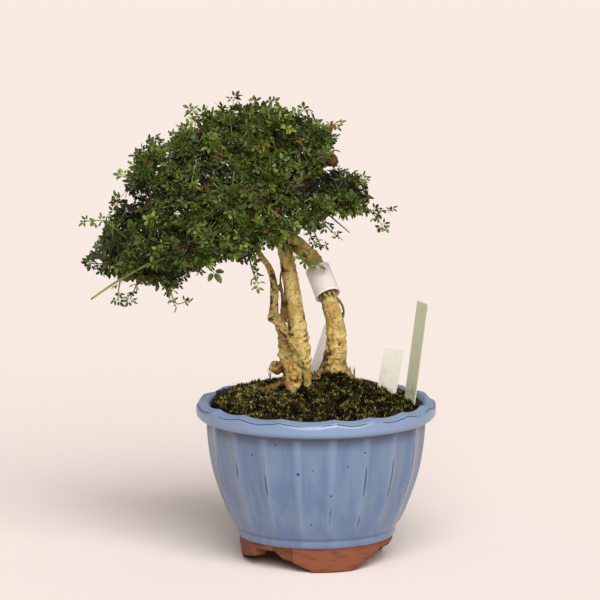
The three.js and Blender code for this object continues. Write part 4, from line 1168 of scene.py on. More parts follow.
@dataclass(frozen=True)
class Wood:
    """Trunks, surface roots, knobs, aerial root, branches and the healed cut.

    A stem is rows of x, y, z and radius in mm. How rough and how dark a stem's bark is runs
    from 0 for the smooth pale trunk to 1 for old scabby wood.
    """

    placement: Placement
    mound: Mound
    voxel: float = 0.8
    smoothing: int = 4
    points_per_row: int = 14
    knob_lumps: float = 0.14
    part_size: int = 8192
    centre_trunk: Rows = (
        (-14, -12, 118, 5), (-17, -13.5, 140, 7), (-17.5, -13, 158, 7.4), (-15, -11, 178, 9.6),
        (-16, -9, 198, 9), (-17, -8, 214, 8), (-20.6, -5, 235, 7.2), (-23, -3, 252, 6.9),
        (-26.5, 0, 270, 6.4), (-34, 3, 292, 5.6), (-46, 6, 314, 4.6), (-58, 6, 334, 3.4),
    )
    left_trunk: Rows = (
        (-57, -4, 286, 1.8), (-49, -7, 271, 2.4), (-41, -10, 260, 2.8), (-37.2, -12, 249, 3.2),
        (-36.4, -14, 232, 3.8), (-36.4, -15.5, 219, 4.2), (-30.5, -15.5, 209, 4.4),
        (-22, -16.5, 198, 4.6), (-14, -18, 186, 4.4), (-9, -18.5, 174, 4.2), (-8, -19.5, 164, 3.6),
        (-7.5, -22, 154, 2.8), (-7, -24, 144, 2.4),
    )
    left_root: Rows = (
        (-33, -14, 212, 3.2), (-28, -11, 197, 5), (-26.5, -11, 181, 6), (-23.5, -13, 165, 5.4),
        (-22, -17.5, 155, 4.2), (-21.5, -22, 149, 3), (-21, -25, 141, 2.4),
    )
    right_trunk: Rows = (
        (14, 2, 136, 5.5), (15, 2, 154, 8.2), (15.5, 2, 172, 8.9), (18, 2, 190, 8.4),
        (17, 4, 206, 7.9), (11.8, 7, 224, 7.3), (6.1, 18, 242, 7), (-1, 29, 257, 7.1),
        (-13, 30, 270, 7), (-27, 24, 282, 6.6), (-38, 14, 292, 5.6), (-52, 2, 300, 4.4),
    )
    surface_roots: tuple[Rows, ...] = (
        ((12, 1, 13, 5), (7, -2, 2, 4.4), (1, -7, -1, 3.2), (-4, -13, -3, 2)),
        ((19, 2, 12, 5), (24, 3, 3, 4.4), (30, 4, 0, 3.2), (36, 7, -3, 2)),
        ((15, 8, 9, 4), (17, 18, 0, 3.6), (20, 28, -3, 2)),
        ((-12, -12, 15, 4.4), (-6, -11, 4, 4), (1, -11, 0.5, 3), (7, -13, -3, 2)),
        ((-24, -7, 7, 4.4), (-32, -4, 3, 3.6), (-40, -1, 1, 2.8), (-46, 1, -3, 2)),
        ((-34, -10, 21, 4.8), (-29, -11, 20.5, 4.6), (-22, -12, 17.5, 4)),
    )
    aerial_root: Rows = (
        (10, 12, 230, 0.9), (16.5, 8.6, 230.6, 1.1), (21.4, 6, 226, 1.2), (24.2, 4, 219, 1.1),
        (22.8, 3.6, 210, 0.9),
    )
    stub_branch: Rows = (
        (-36, 15, 290, 4.4), (-30, 7, 312, 3.8), (-23, 3, 328, 3.4), (-11, 1, 339, 3.2),
        (8, -2, 350, 3.4),
    )
    knobs: Rows = ((-34.5, -10, 171.5, 5.6), (-38, -16, 216.5, 4.6), (13.5, -2.5, 352.5, 5.6))
    cut_stub: Rows = ((-9, 16, 262, 2.2), (-10, 8, 267, 2.1), (-11, 4, 269, 1.9))
    dead_twigs: tuple[Rows, ...] = (
        ((-28, -4, 262, 1.3), (-31, -10, 250, 1.1), (-29.5, -12, 236, 1.2))
        + ((-29, -13, 222, 2), (-30, -14, 208, 2)),
        ((-33, -11, 244, 1), (-28, -14, 234, 1.2), (-26.5, -13.5, 224, 1.6), (-27, -13, 212, 1.8)),
    )
    branches: tuple[Rows, ...] = (
        ((-34, 3, 291, 4), (-70, -8, 296, 3.4), (-112, -16, 284, 2.6), (-146, -18, 268, 1.6)),
        ((-46, 6, 314, 3.6), (-84, 8, 326, 3), (-122, 12, 322, 2.4), (-158, 4, 306, 1.5)),
        ((-58, 6, 334, 3), (-82, 0, 356, 2.4), (-108, -6, 370, 1.4)),
        ((-57, 6, 333, 2.8), (-52, 8, 356, 2.2), (-44, 4, 380, 1.3)),
        ((-30, 7, 312, 2.6), (-4, 16, 316, 2.4), (24, 8, 316, 2), (46, 2, 315, 1.2)),
        ((-34, 3, 291, 3), (-44, -34, 296, 2.4), (-66, -66, 300, 1.4)),
        ((-50, 3, 300, 3), (-62, 44, 304, 2.4), (-84, 76, 304, 1.4)),
        ((-46, 6, 314, 2.8), (-58, -34, 342, 2.2), (-70, -58, 356, 1.3)),
        ((-46, 6, 314, 2.8), (-60, 42, 344, 2.2), (-72, 62, 358, 1.3)),
        ((-34, -24, 336, 1.6), (-24, -32, 346, 1.5), (-14, -34, 355, 1.3), (-4, -34, 360, 1)),
    )

    def stems(self) -> tuple[list[Array], Array]:
        """Returns every stem as a smooth row of points with radii, and how rough each is."""
        roots = []
        for root in self.surface_roots:
            points = np.array(root, float)
            points[:, 2] += self.mound.height(points[:, 0], points[:, 1])
            roots.append(points)
        groups = (
            ((self.centre_trunk,), 0.12),
            ((self.left_trunk, self.left_root), 0.55),
            ((self.right_trunk,), 0.22),
            (roots, 0.8),
            ((self.aerial_root, self.cut_stub, *self.dead_twigs), 1.0),
            ((self.stub_branch, *self.branches), 0.7),
        )
        chained = [stem for group, _ in groups for stem in group]
        every = [smooth_curve(np.array(stem, float), self.points_per_row * len(stem)) for stem in chained]
        rough = [share for group, share in groups for _ in group]
        return every, np.array(rough)

    def ball(self, place: tuple[float, float, float, float]) -> Skin:
        """A knob: a sphere with lumps, r (1 + 0.14 noise).

        Args:
            place: Centre and radius.

        Returns:
            The closed skin.
        """
        angle = np.linspace(-np.pi / 2, np.pi / 2, 14)[1:-1, None]
        out = around(np.degrees(ring_angles(18))[None], np.cos(angle), np.sin(angle))
        reach = place[3] * (1.0 + self.knob_lumps * lattice_noise(out * 5.0, 2.0, 8))
        return grid_skin(np.array(place[:3]) + reach[..., None] * out)

    def fused(self, stems: list[Array]) -> Skin:
        """Grows all stems together: a voxel skin over their tubes, smoothed where they meet.

        Args:
            stems: Points with radii along each stem.

        Returns:
            The fused skin.
        """
        tubes = [grid_skin(tube_points(stem[:, :3], stem[:, 3], 16)) for stem in stems]
        rough = joined([*tubes, *(self.ball(knob) for knob in self.knobs)])
        source = rough.to_object("rough_wood", self.placement)
        remesh = source.modifiers.new("grown_together", "REMESH")
        remesh.mode = "VOXEL"
        remesh.voxel_size = self.voxel * MM
        smooth = source.modifiers.new("smoothed", "SMOOTH")
        smooth.iterations = self.smoothing
        mesh = source.evaluated_get(bpy.context.evaluated_depsgraph_get()).to_mesh()
        points = np.empty(3 * len(mesh.vertices))
        mesh.vertices.foreach_get("co", points)
        corners = np.empty(len(mesh.loops), np.int64)
        mesh.loops.foreach_get("vertex_index", corners)
        sides = len(corners) // len(mesh.polygons)
        points = points.reshape(-1, 3) / MM - self.placement.origin
        bpy.data.objects.remove(source)
        return Skin(points, corners.reshape(-1, sides))

    def bark_places(
        self, points: Array, stems: list[Array], rough: Array
    ) -> tuple[Array, Array, Array]:
        """Finds where each point lies on its stem: the stem whose surface is nearest.

        Args:
            points: Points on the wood in mm.
            stems: Points with radii along each stem.
            rough: How rough each stem is.

        Returns:
            Places on the straightened stem (across, across, along) in mm, its radii and how
            rough it is.
        """
        frames = [carried_frames(stem[:, :3]) for stem in stems]
        centres = np.vstack([stem[:, :3] for stem in stems])
        radii = np.concatenate([stem[:, 3] for stem in stems])
        age = np.repeat(rough, [len(stem) for stem in stems])
        tangents, first, second = (np.vstack([made[n] for made in frames]) for n in range(3))
        along = np.concatenate([path_length(stem[:, :3]) + 400.0 * n for n, stem in enumerate(stems)])
        nearest = np.empty(len(points), np.int64)
        for start in range(0, len(points), self.part_size):
            part = slice(start, start + self.part_size)
            away = np.linalg.norm(points[part, None] - centres[None], axis=2) - radii[None]
            nearest[part] = away.argmin(axis=1)
        arm = points - centres[nearest]
        parts = [(arm * rows[nearest]).sum(axis=1) for rows in (first, second, tangents)]
        return np.stack([parts[0], parts[1], along[nearest] + parts[2]], axis=1), radii[nearest], age[nearest]

    def relief(self, place: Array, points: Array, age: Array) -> Array:
        """Bark relief in mm: rings across, ribs along, lumps, scabs in patches and cracks.

        Args:
            place: Places on the straightened stem.
            points: The same points in the pot's frame.
            age: How rough the bark is.

        Returns:
            How far each point stands out, before its share of the stem's radius.
        """
        rings = lattice_noise(place * np.array([0.12, 0.12, 1.0]), 2.4, 9)
        ribs = lattice_noise(place * np.array([1.0, 1.0, 0.14]), 3.4, 10)
        lumps = lattice_noise(points, 6.5, 11)
        low = smooth_step(222.0, 185.0, points[:, 2])
        scabs = np.clip(lattice_noise(points, 12.0, 12) + 0.5 * age + 0.1 * low - 0.25, 0.0, 1.0)
        crumbs = lattice_noise(points, 1.9, 13)
        cracks = np.clip(0.16 - np.abs(lattice_noise(place * np.array([1.0, 1.0, 0.3]), 6.0, 14)), 0, 1)
        total = 0.28 * rings + (0.25 + 0.5 * age) * ribs + (0.35 + 0.6 * age) * lumps
        knots = np.maximum(lattice_noise(points, 2.3, 16), -0.16)
        knots *= np.clip(0.15 + 0.6 * age + 0.7 * low, 0.0, 1.0)
        return total + 2.5 * knots + scabs * (0.5 + 1.3 * crumbs) - (1.0 + 2.6 * age) * cracks

    def build(self) -> bpy.types.Object:
        """Builds and dresses the wood."""
        stems, rough = self.stems()
        made = self.fused(stems)
        place, radii, age = self.bark_places(made.points, stems, rough)
        age = np.clip(age + 0.3 * lattice_noise(made.points, 14.0, 15), 0.0, 1.0)
        healed = np.linalg.norm(made.points - np.array(self.knobs[-1][:3]), axis=1)
        age = np.maximum(age, 1.2 * smooth_step(10.0, 6.0, healed))
        relief = self.relief(place, made.points, age)
        lift = relief * np.clip(radii / 8.0, 0.1, 1.0)
        made.points = made.points + made.normals() * lift[:, None]
        made.values = {"bark": place, "relief": relief, "age": smooth_step(0.3, 1.1, age) * 0.9}
        wood = made.to_object("jasmine_wood", self.placement)
        return settle(wood, Slot.BARK, [JasmineBark().material()], "trunks_and_branches")


# Collar, labels, cake


@dataclass(frozen=True)
class Collar:
    """White plastic sleeve round the right trunk, with a rolled lip at its lower end."""

    placement: Placement
    radius: float = 11.0
    wall: float = 1.1
    length: float = 28.0
    lip: float = 0.5
    lip_height: float = 2.2
    edge: float = 0.35
    columns: int = 96
    middle: Point = (5.9, 18.4, 242.0)
    axis: Point = (-10.5, 18.0, 23.5)

    def profile(self) -> Array:
        """Returns the wall's section as radius and height along the axis, closed round."""
        r, e, top = self.radius, self.edge, self.length / 2
        inner, lip, end = r - self.wall, r + self.lip, self.lip_height - top
        return np.array(
            [
                (inner, -top + e), (inner + e, -top), (lip - e, -top), (lip, -top + e), (lip, end - e),
                (lip - e, end), (r, end + e), (r, 0.0), (r, top - e), (r - e, top), (inner + e, top),
                (inner, top - e), (inner, 0.0),
            ]
        )

    def build(self) -> bpy.types.Object:
        """Builds and dresses the collar: its section turned round its slanted axis."""
        section = self.profile()[:, :, None, None]
        along = unit(np.array(self.axis))
        side = unit(np.cross(along, UP))
        angle = ring_angles(self.columns)[None, :, None]
        out = np.cos(angle) * side + np.sin(angle) * np.cross(along, side)
        points = np.array(self.middle) + section[:, 0] * out + section[:, 1] * along
        made = grid_skin(points, loop=True).to_object("plastic_collar", self.placement)
        finish = MouldedPlastic("white_collar_plastic", "#f4e9e0", "#b0a089", 0.34)
        return settle(made, Slot.WHITE, [finish.material()], "collar")


@dataclass(frozen=True)
class Label:
    """A flat plant label with a pointed foot in the soil.

    Fields:
        node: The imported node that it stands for.
        foot: Where it enters the moss.
        buried: Length under the moss in mm.
        length: Length above it in mm.
        azimuth: Way that its face looks, in degrees from the front.
        lean: Lean to the right in degrees.
        roll: Lean forward in degrees.
    """

    placement: Placement
    node: str
    foot: Point
    buried: float
    length: float
    azimuth: float
    lean: float
    roll: float
    slot: Slot
    finish: MouldedPlastic
    width: float = 17.2
    thickness: float = 0.8
    point: float = 12.0
    tip: float = 1.5
    corner: float = 1.4
    rounding: int = 5
    worn: float = 0.16

    def outline(self) -> Array:
        """Returns the outline in the label's plane, its upper corners rounded by quarter arcs."""
        half, low = self.width / 2, self.point - self.buried
        arc = np.linspace(0.0, np.pi / 2, self.rounding)
        middle = np.array([half - self.corner, self.length - self.corner])
        right = middle + self.corner * np.stack([np.cos(arc), np.sin(arc)], 1)
        left = right[::-1] * np.array([-1.0, 1.0])
        foot = np.array([(-half, low), (-self.tip, -self.buried), (self.tip, -self.buried), (half, low)])
        return np.vstack([right, left, foot])

    def build(self) -> bpy.types.Object:
        """Builds and dresses the label: its outline on both faces, turned, its edges bevelled."""
        outline = self.outline()
        count = len(outline)
        depths = (-self.thickness / 2, self.thickness / 2)
        points = np.vstack([np.insert(outline, 1, y, 1) for y in depths])
        for axis, degrees in ((0, -self.roll), (2, -self.azimuth), (1, self.lean)):
            points = turned(points, degrees, axis)
        mesh = bpy.data.meshes.new(self.node + "_plate")
        ring = np.arange(count)
        sides = np.stack([ring, ring + count, (ring + 1) % count + count, (ring + 1) % count], 1).tolist()
        faces = [ring.tolist(), (ring[::-1] + count).tolist(), *sides]
        mesh.from_pydata(self.placement.metres(points + np.array(self.foot)), [], faces)
        mesh.validate()
        made = bpy.data.objects.new(self.node + "_plate", mesh)
        bpy.context.scene.collection.objects.link(made)
        bevel = made.modifiers.new("worn_edges", "BEVEL")
        bevel.width = self.worn * MM
        bevel.segments = 2
        return settle(made, self.slot, [self.finish.material()], self.node)


@dataclass(frozen=True)
class Cake:
    """A crumbly block of feeding cake at the left edge of the moss."""

    placement: Placement
    centre: Point = (-82.5, 6.0, 143.3)
    half: float = 4.5
    turn: float = 12.0
    squareness: float = 0.32

    def pressed(self, value: Array) -> Array:
        """Returns a value's size to the block's power, with its sign."""
        return np.sign(value) * np.abs(value) ** self.squareness

    def build(self) -> bpy.types.Object:
        """Builds and dresses the cake: a superellipsoid, c^0.32 and s^0.32, with crumbs."""
        v = np.linspace(-np.pi / 2, np.pi / 2, 42)[1:-1, None]
        u = ring_angles(80)[None]
        level = self.pressed(np.cos(v))
        parts = (level * self.pressed(np.cos(u)), level * self.pressed(np.sin(u)), self.pressed(np.sin(v)))
        out = np.stack(np.broadcast_arrays(*parts), -1) * self.half
        out *= (0.97 + 0.05 * lattice_noise(out, 1.6, 21) + 0.05 * lattice_noise(out, 3.5, 22))[..., None]
        points = turned(out, self.turn) + np.array(self.centre)
        made = grid_skin(points).to_object("crumbly_cake", self.placement)
        return settle(made, Slot.CAKE, [FeedingCake().material()], "feeding_cake")


# Crown


@dataclass(frozen=True)
class LeafShape:
    """One three-part leaf as a thin folded sheet, in shares of its end leaflet's length.

    Fields:
        side_angle: Angle of the side leaflets in degrees.
        half_width: Half a leaflet's width.
        fold: How far a leaflet's edges rise over its midrib.
        arch: How far a leaflet's tip falls.
        gap: Where a leaflet starts, from the joint.
    """

    stalk: float = 0.42
    side_angle: float = 66.0
    side_length: float = 0.8
    half_width: float = 0.275
    fold: float = 0.1
    arch: float = 0.16
    gap: float = 0.2

    def leaflet(self, length: float, angle: float) -> tuple[Array, Array]:
        """A blunt leaflet: half width sin(pi u^0.9)^0.62, height fold |v| - arch u squared.

        Args:
            length: Its length.
            angle: Its way in degrees from the leaf's axis.

        Returns:
            Points along, across and above the leaf's plane, and pattern coordinates.
        """
        u = np.array([0.1, 0.36, 0.7, 0.93])
        width = np.sin(np.pi * u**0.9) ** 0.62
        v = np.array([-1.0, 0.0, 1.0])
        along = np.repeat(u, 3)
        across = (self.half_width * width[:, None] * v).ravel()
        rise = np.tile(self.fold * np.abs(v), 4) * np.repeat(width, 3) - self.arch * along**2
        middle = np.stack([along, across, rise], 1)
        flat = np.vstack([[(0.0, 0.0, 0.0)], middle, [(1.0, 0.0, -self.arch)]])
        flat = (flat + np.array([self.gap, 0.0, 0.0])) * length
        sides = np.concatenate([[0.5], np.tile((v + 1) / 2, 4), [0.5]])
        return turned(flat, angle), np.stack([np.concatenate([[0.0], along, [1.0]]), sides], 1)

    def sheet(self) -> tuple[Array, Array, Array]:
        """Returns the whole leaf's points, pattern coordinates and triangles, stalk included."""
        band = [(0, 2, 1), (0, 3, 2), (10, 11, 13), (11, 12, 13)]
        for n in (1, 2, 4, 5, 7, 8):
            band += [(n, n + 1, n + 4), (n, n + 4, n + 3)]
        points, patterns, faces = [], [], []
        leaflets = ((self.side_length, -self.side_angle), (1.0, 0.0), (self.side_length, self.side_angle))
        for n, (length, angle) in enumerate(leaflets):
            placed, pattern = self.leaflet(length, angle)
            points.append(placed)
            patterns.append(pattern)
            faces.append(np.array(band) + 14 * n)
        ring = np.array([(0.0, 0.03, -0.01), (0.0, -0.03, -0.01), (0.0, 0.0, 0.035)])
        points += [ring - np.array([self.stalk, 0.0, 0.0]), ring + np.array([self.gap + 0.05, 0.0, 0.0])]
        patterns.append(np.full((6, 2), 0.5))
        prism = [(n, (n + 1) % 3, 3 + (n + 1) % 3) for n in range(3)]
        prism += [(n, 3 + (n + 1) % 3, 3 + n) for n in range(3)]
        faces.append(np.array(prism) + 42)
        return np.vstack(points), np.vstack(patterns), np.vstack(faces)


@dataclass
class LeafPlaces:
    """Where leaves grow: one row for each leaf.

    Fields:
        base: The stalk's root.
        axis: Way that the leaf runs.
        normal: Way that its upper side looks.
        size: Length of its end leaflet in mm.
        tone: Its place from darkest through young to withered.
    """

    base: Array
    axis: Array
    normal: Array
    size: Array
    tone: Array

    def columns(self) -> tuple[Array, ...]:
        """Returns the fields in their order."""
        return self.base, self.axis, self.normal, self.size, self.tone

    def kept(self, keep: Array) -> LeafPlaces:
        """Returns only the leaves marked True."""
        return LeafPlaces(*(rows[keep] for rows in self.columns()))

    def skin(self, shapes: Sequence[LeafShape], random: np.random.Generator) -> Skin:
        """Grows the leaves: base + size (along axis + across side + above normal).

        Args:
            shapes: Shapes that the leaves take in turn.
            random: Draws how far each leaf is folded.

        Returns:
            All leaves as one skin of triangles.
        """
        parts = []
        side = unit(np.cross(self.normal, self.axis))
        face = np.cross(self.axis, side)
        for n, shape in enumerate(shapes):
            points, pattern, faces = shape.sheet()
            pick = np.arange(n, len(self.base), len(shapes))
            if len(pick) == 0:
                continue
            local = (points + np.array([shape.stalk, 0.0, 0.0]))[None]
            folded = 0.4 + 1.3 * random.random((len(pick), 1, 1))
            placed = local[..., :1] * self.axis[pick, None] + local[..., 1:2] * side[pick, None]
            placed = placed + local[..., 2:] * folded * face[pick, None]
            placed = self.base[pick, None] + self.size[pick, None, None] * placed
            starts = len(points) * np.arange(len(pick))[:, None, None]
            corners = np.tile(pattern[faces][None], (len(pick), 1, 1, 1)).reshape(-1, 3, 2)
            tone = np.repeat(self.tone[pick], len(points))
            numbers = (faces[None] + starts).reshape(-1, 3)
            parts.append(Skin(placed.reshape(-1, 3), numbers, corners, {"tone": tone}))
        return joined(parts)


@dataclass(frozen=True)
class CrownShape:
    """The crown's outline: slices from its left end to its right end, and bays cut into it.

    Fields:
        slices: Rows of x, height of the middle line, top, bottom and half depth in mm.
        bays: Gaps seen through from the front: middle x and z, half width and half height.
    """

    slices: Rows = (
        (-198, 262, 268, 256, 24), (-186, 270, 287, 254, 50), (-174, 275, 312, 253, 64),
        (-165, 279, 345, 250, 73), (-155, 283, 363, 247, 80), (-135, 287, 376, 241, 90),
        (-118, 291, 384, 241, 96), (-108, 293, 389, 250, 98), (-92, 296, 395, 262, 101),
        (-75, 299, 401, 266, 102), (-40, 304, 405, 271, 96), (-12, 312, 392, 284, 84),
        (10, 318, 387, 295, 66), (22, 317, 356, 298, 54), (30, 316, 340, 299, 48),
        (50, 315, 334, 300, 34), (72, 311, 318, 304, 12),
    )
    bays: Rows = (
        (23, 353, 10, 11), (14, 352, 7, 7), (5, 342, 7, 5), (-19, 351, 6, 4), (30, 297, 30, 11),
        (68, 325, 19, 30),
    )

    def slice_at(self, x: Array) -> tuple[Array, ...]:
        """Returns middle, top, bottom and half depth at x, blended between the slices."""
        table = np.array(self.slices, float)
        return tuple(np.interp(x, table[:, 0], table[:, n]) for n in range(1, 5))

    def point(self, x: float, angle: float, depth: float) -> Array:
        """A point under the crown's skin: middle + (0, -depth cos a, reach sin a), drawn in.

        Args:
            x: Place along the crown in mm.
            angle: Degrees round it, 0 in front and 90 on top.
            depth: How far under the skin in mm.

        Returns:
            The point.
        """
        middle, top, bottom, half = self.slice_at(x)
        a = math.radians(angle)
        reach = top - middle if math.sin(a) > 0 else middle - bottom
        out = np.array([0.0, -half * math.cos(a), reach * math.sin(a)])
        length = np.linalg.norm(out)
        return out * max(length - depth, 4.0) / length + np.array([x, 0.0, middle])

    def depth(self, points: Array) -> Array:
        """How near the skin points lie: the root of (y / depth)^2 + (rise / reach)^2, 1 on it.

        Args:
            points: Points in mm.

        Returns:
            0 in the middle, 1 on the skin, 9 beyond the ends.
        """
        x, y, z = points[..., 0], points[..., 1], points[..., 2]
        middle, top, bottom, half = self.slice_at(x)
        rise = z - middle
        reach = np.where(rise > 0, top - middle, middle - bottom)
        ends = (x > self.slices[0][0]) & (x < self.slices[-1][0])
        return np.where(ends, np.hypot(y / half, rise / reach), 9.0)

    def in_bay(self, points: Array) -> Array:
        """Returns True for each point inside one of the bays, as seen from the front."""
        x, z = points[..., 0], points[..., 2]
        return np.any([np.hypot((x - a) / w, (z - b) / h) < 1.0 for a, b, w, h in self.bays], axis=0)


@dataclass(frozen=True)
class Spray:
    """One spray of the crown: where its twigs start and the way that it faces."""

    number: int
    centre: Array
    outward: Array


@dataclass(frozen=True)
class Shoot:
    """A leafy shoot that stands out of the crown or hangs below it.

    Fields:
        stem: Points along it.
        radius: Its radius at the root in mm.
        leaf: Length of its leaflets in mm, 0 for a bare shoot.
        spacing: Length between its pairs of leaves in mm.
        flat: Whether its leaves face the front.
        leafy: Share of its length that bears pairs of leaves.
    """

    stem: Rows
    radius: float
    leaf: float
    tone: float = 0.62
    spacing: float = 6.5
    flat: bool = False
    leafy: float = 0.8


@dataclass(frozen=True)
class Twig:
    """A twig's path with the length of its leafy part and the spacing of its pairs in mm."""

    path: Array
    leafy: float
    spacing: float


@dataclass(frozen=True)
class Crown:
    """The leafy crown: forty sprays of twigs and three-part leaves, and long shoots."""

    placement: Placement
    shape: CrownShape = CrownShape()
    rows: Rows = (
        (-178, 3, -10, 190, 19), (-146, 6, -45, 225, 22), (-109, 6, -16, 196, 22),
        (-72, 7, -14, 194, 22), (-37, 6, -8, 188, 22), (-5, 5, 0, 180, 21), (24, 3, 4, 176, 16),
        (50, 1, 60, 60, 17),
    )
    low_sprays: Rows = ((-162, -8, 263), (-124, 2, 264), (-86, 4, 282))
    low_outward: Point = (-0.2, -0.1, -1.0)
    directions: int = 46
    backward: float = -0.15
    inner_step: int = 4
    longest_twig: float = 42.0
    overlap: float = 4.0
    drawn_in: float = 6.5
    long_share: float = 0.2
    pair_spacing: float = 5.4
    leafy_length: float = 17.0
    twig_radius: float = 0.55
    leaf_size: tuple[float, float] = (5.2, 8.0)
    light_middle: Point = (-60.0, 0.0, 290.0)
    shake: float = 0.25
    sway: float = 0.14
    kept_share: float = 0.93
    withered_share: float = 0.03
    young_share: float = 0.16
    middle_tone: float = 0.44
    shoots: tuple[Shoot, ...] = (
        Shoot(((-150, -18, 278), (-162, -22, 286), (-184, -25, 303), (-199, -25, 303)), 0.9, 6.5),
        Shoot(((-118, -66, 285), (-148, -70, 271), (-172, -62, 256), (-194, -50, 239)), 1.5, 0),
        Shoot(((-164, -14, 264), (-170, -25, 249), (-172, -26, 233)), 0.8, 6),
        Shoot(((-146, -22, 266), (-155, -33, 249), (-161, -35, 236)), 0.8, 6),
        Shoot(((-126, -20, 264), (-127, -34, 251), (-121, -38, 233), (-113, -36, 234)), 0.8, 6.5),
        Shoot(((-108, -24, 284), (-101, -50, 272), (-91, -57, 267)), 0.7, 11.0, 0.62, 9.0, True, 0.0),
        Shoot(((-60, -34, 286), (-56, -48, 268), (-50, -50, 252)), 0.8, 7),
        Shoot(YOUNG_STEM, 1.0, 6.5, 0.88, 7.0),
        Shoot(((26, 0, 316), (40, -10, 312), (52, -12, 310), (64, -12, 310)), 0.9, 6),
        Shoot(((2, -12, 314), (14, -14, 304), (29, -14, 291)), 0.9, 0),
        Shoot(((-20, -20, 306), (-9, -26, 297), (0, -28, 284), (9, -28, 282)), 0.7, 5, 0.3, 5.0),
        Shoot(((2, -16, 306), (10, -24, 297), (18, -26, 290)), 0.7, 5, 0.3, 5.5),
        Shoot(((44, -6, 312), (52, -10, 304), (58, -12, 297)), 0.6, 6.5, 0.5, 9.0, True),
        Shoot(((-14, -24, 312), (-4, -34, 298), (3, -36, 286)), 0.8, 5),
        Shoot(((-88, 2, 380), (-98, 0, 390), (-107, 0, 396)), 0.9, 7.5),
        Shoot(((-146, 0, 330), (-158, 0, 336), (-168, 0, 339)), 0.8, 6),
        Shoot(((-22, 2, 374), (-17, 0, 390), (-10, 0, 397)), 0.8, 7.5),
        Shoot(((-2, 2, 372), (8, 0, 382), (18, 0, 384)), 0.8, 6.5),
    )
    leaf_shapes: tuple[LeafShape, ...] = (
        LeafShape(),
        LeafShape(side_angle=62.0, half_width=0.3, arch=0.24),
        LeafShape(stalk=0.5, side_angle=76.0, half_width=0.25, fold=0.14),
        LeafShape(stalk=0.36, side_angle=68.0, half_width=0.28, fold=0.05, arch=0.05),
    )

    def sprays(self) -> list[Spray]:
        """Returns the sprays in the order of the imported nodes."""
        made = []
        for x, count, first, last, depth in self.rows:
            for angle in np.linspace(first, last, int(count)):
                outward = unit(self.shape.point(x, angle, 0.0) - self.shape.point(x, angle, 4.0))
                end = min(max((x + 75.0) / 160.0, -1.0), 1.0)
                outward = unit(outward + np.array([end * abs(end) * 0.9, 0.0, 0.0]))
                made.append(Spray(len(made), self.shape.point(x, angle, depth), outward))
        for place in self.low_sprays:
            made.append(Spray(len(made), np.array(place, float), unit(np.array(self.low_outward))))
        return made

    def reaches(self, spray: Spray, ways: Array, others: Array) -> Array:
        """How far a twig may run: to the crown's skin, or just past the next spray's half way.

        Args:
            spray: The spray.
            ways: Unit directions.
            others: All sprays' centres.

        Returns:
            Lengths in mm.
        """
        steps = np.arange(1.0, self.longest_twig, 1.0)
        along = spray.centre + ways[:, None] * steps[None, :, None]
        loose = 1.0 + np.minimum(0.1 * lattice_noise(along, 24.0, 41), 0.0)
        skin = (self.shape.depth(along) < loose) & ~self.shape.in_bay(along)
        to_skin = skin.cumprod(axis=1).sum(axis=1) - self.drawn_in
        arms = np.delete(others, spray.number, axis=0) - spray.centre
        halves = (arms**2).sum(axis=1)[None] / 2 / np.maximum(ways @ arms.T, 1e-3)
        return np.minimum(to_skin, halves.min(axis=1) + self.overlap)

    def twigs(
        self, spray: Spray, others: Array, random: np.random.Generator, inner: bool = False
    ) -> list[Twig]:
        """Twigs from a spray's middle to its share of the crown's skin, or into its hollow.

        Directions are spread evenly over a ball by the golden angle, then shaken, and each
        twig sags and sways: place = centre + way x length x t + bend x t squared. A fifth of
        them run on past the skin with fewer leaves.

        Args:
            spray: The spray.
            others: All sprays' centres.
            random: Draws the shake and the bends.
            inner: Whether to return the fewer twigs that grow inwards.

        Returns:
            The twigs.
        """
        n = np.arange(self.directions)
        z = 1.0 - 2.0 * (n + 0.5) / self.directions
        turn = n * GOLDEN_ANGLE + spray.number
        flat = np.sqrt(1.0 - z * z)
        ways = np.stack([flat * np.cos(turn), flat * np.sin(turn), z], 1)
        ways = unit(ways + self.shake * random.standard_normal(ways.shape))
        outer = ways @ spray.outward > self.backward
        ways = ways[~outer][:: self.inner_step] if inner else ways[outer]
        lengths = self.reaches(spray, ways, others) + random.uniform(-5.0, 1.5, len(ways))
        long = (random.random(len(ways)) < self.long_share) & (ways @ spray.outward > 0.45)
        lengths = lengths + np.where(long, random.uniform(5.0, 10.0, len(ways)), 0.0)
        keep = lengths > 4.0
        ways, lengths, long = ways[keep], lengths[keep], long[keep]
        share = np.linspace(0.0, 1.0, 6)[None, :, None]
        bend = self.sway * lengths[:, None] * random.standard_normal(ways.shape)
        paths = spray.centre + ways[:, None] * lengths[:, None, None] * share
        paths = paths + bend[:, None] * share * (share - 0.35)
        spacing = np.where(long, 1.5, 1.0) * self.pair_spacing
        return [Twig(path, self.leafy_length, gap) for path, gap in zip(paths, spacing)]

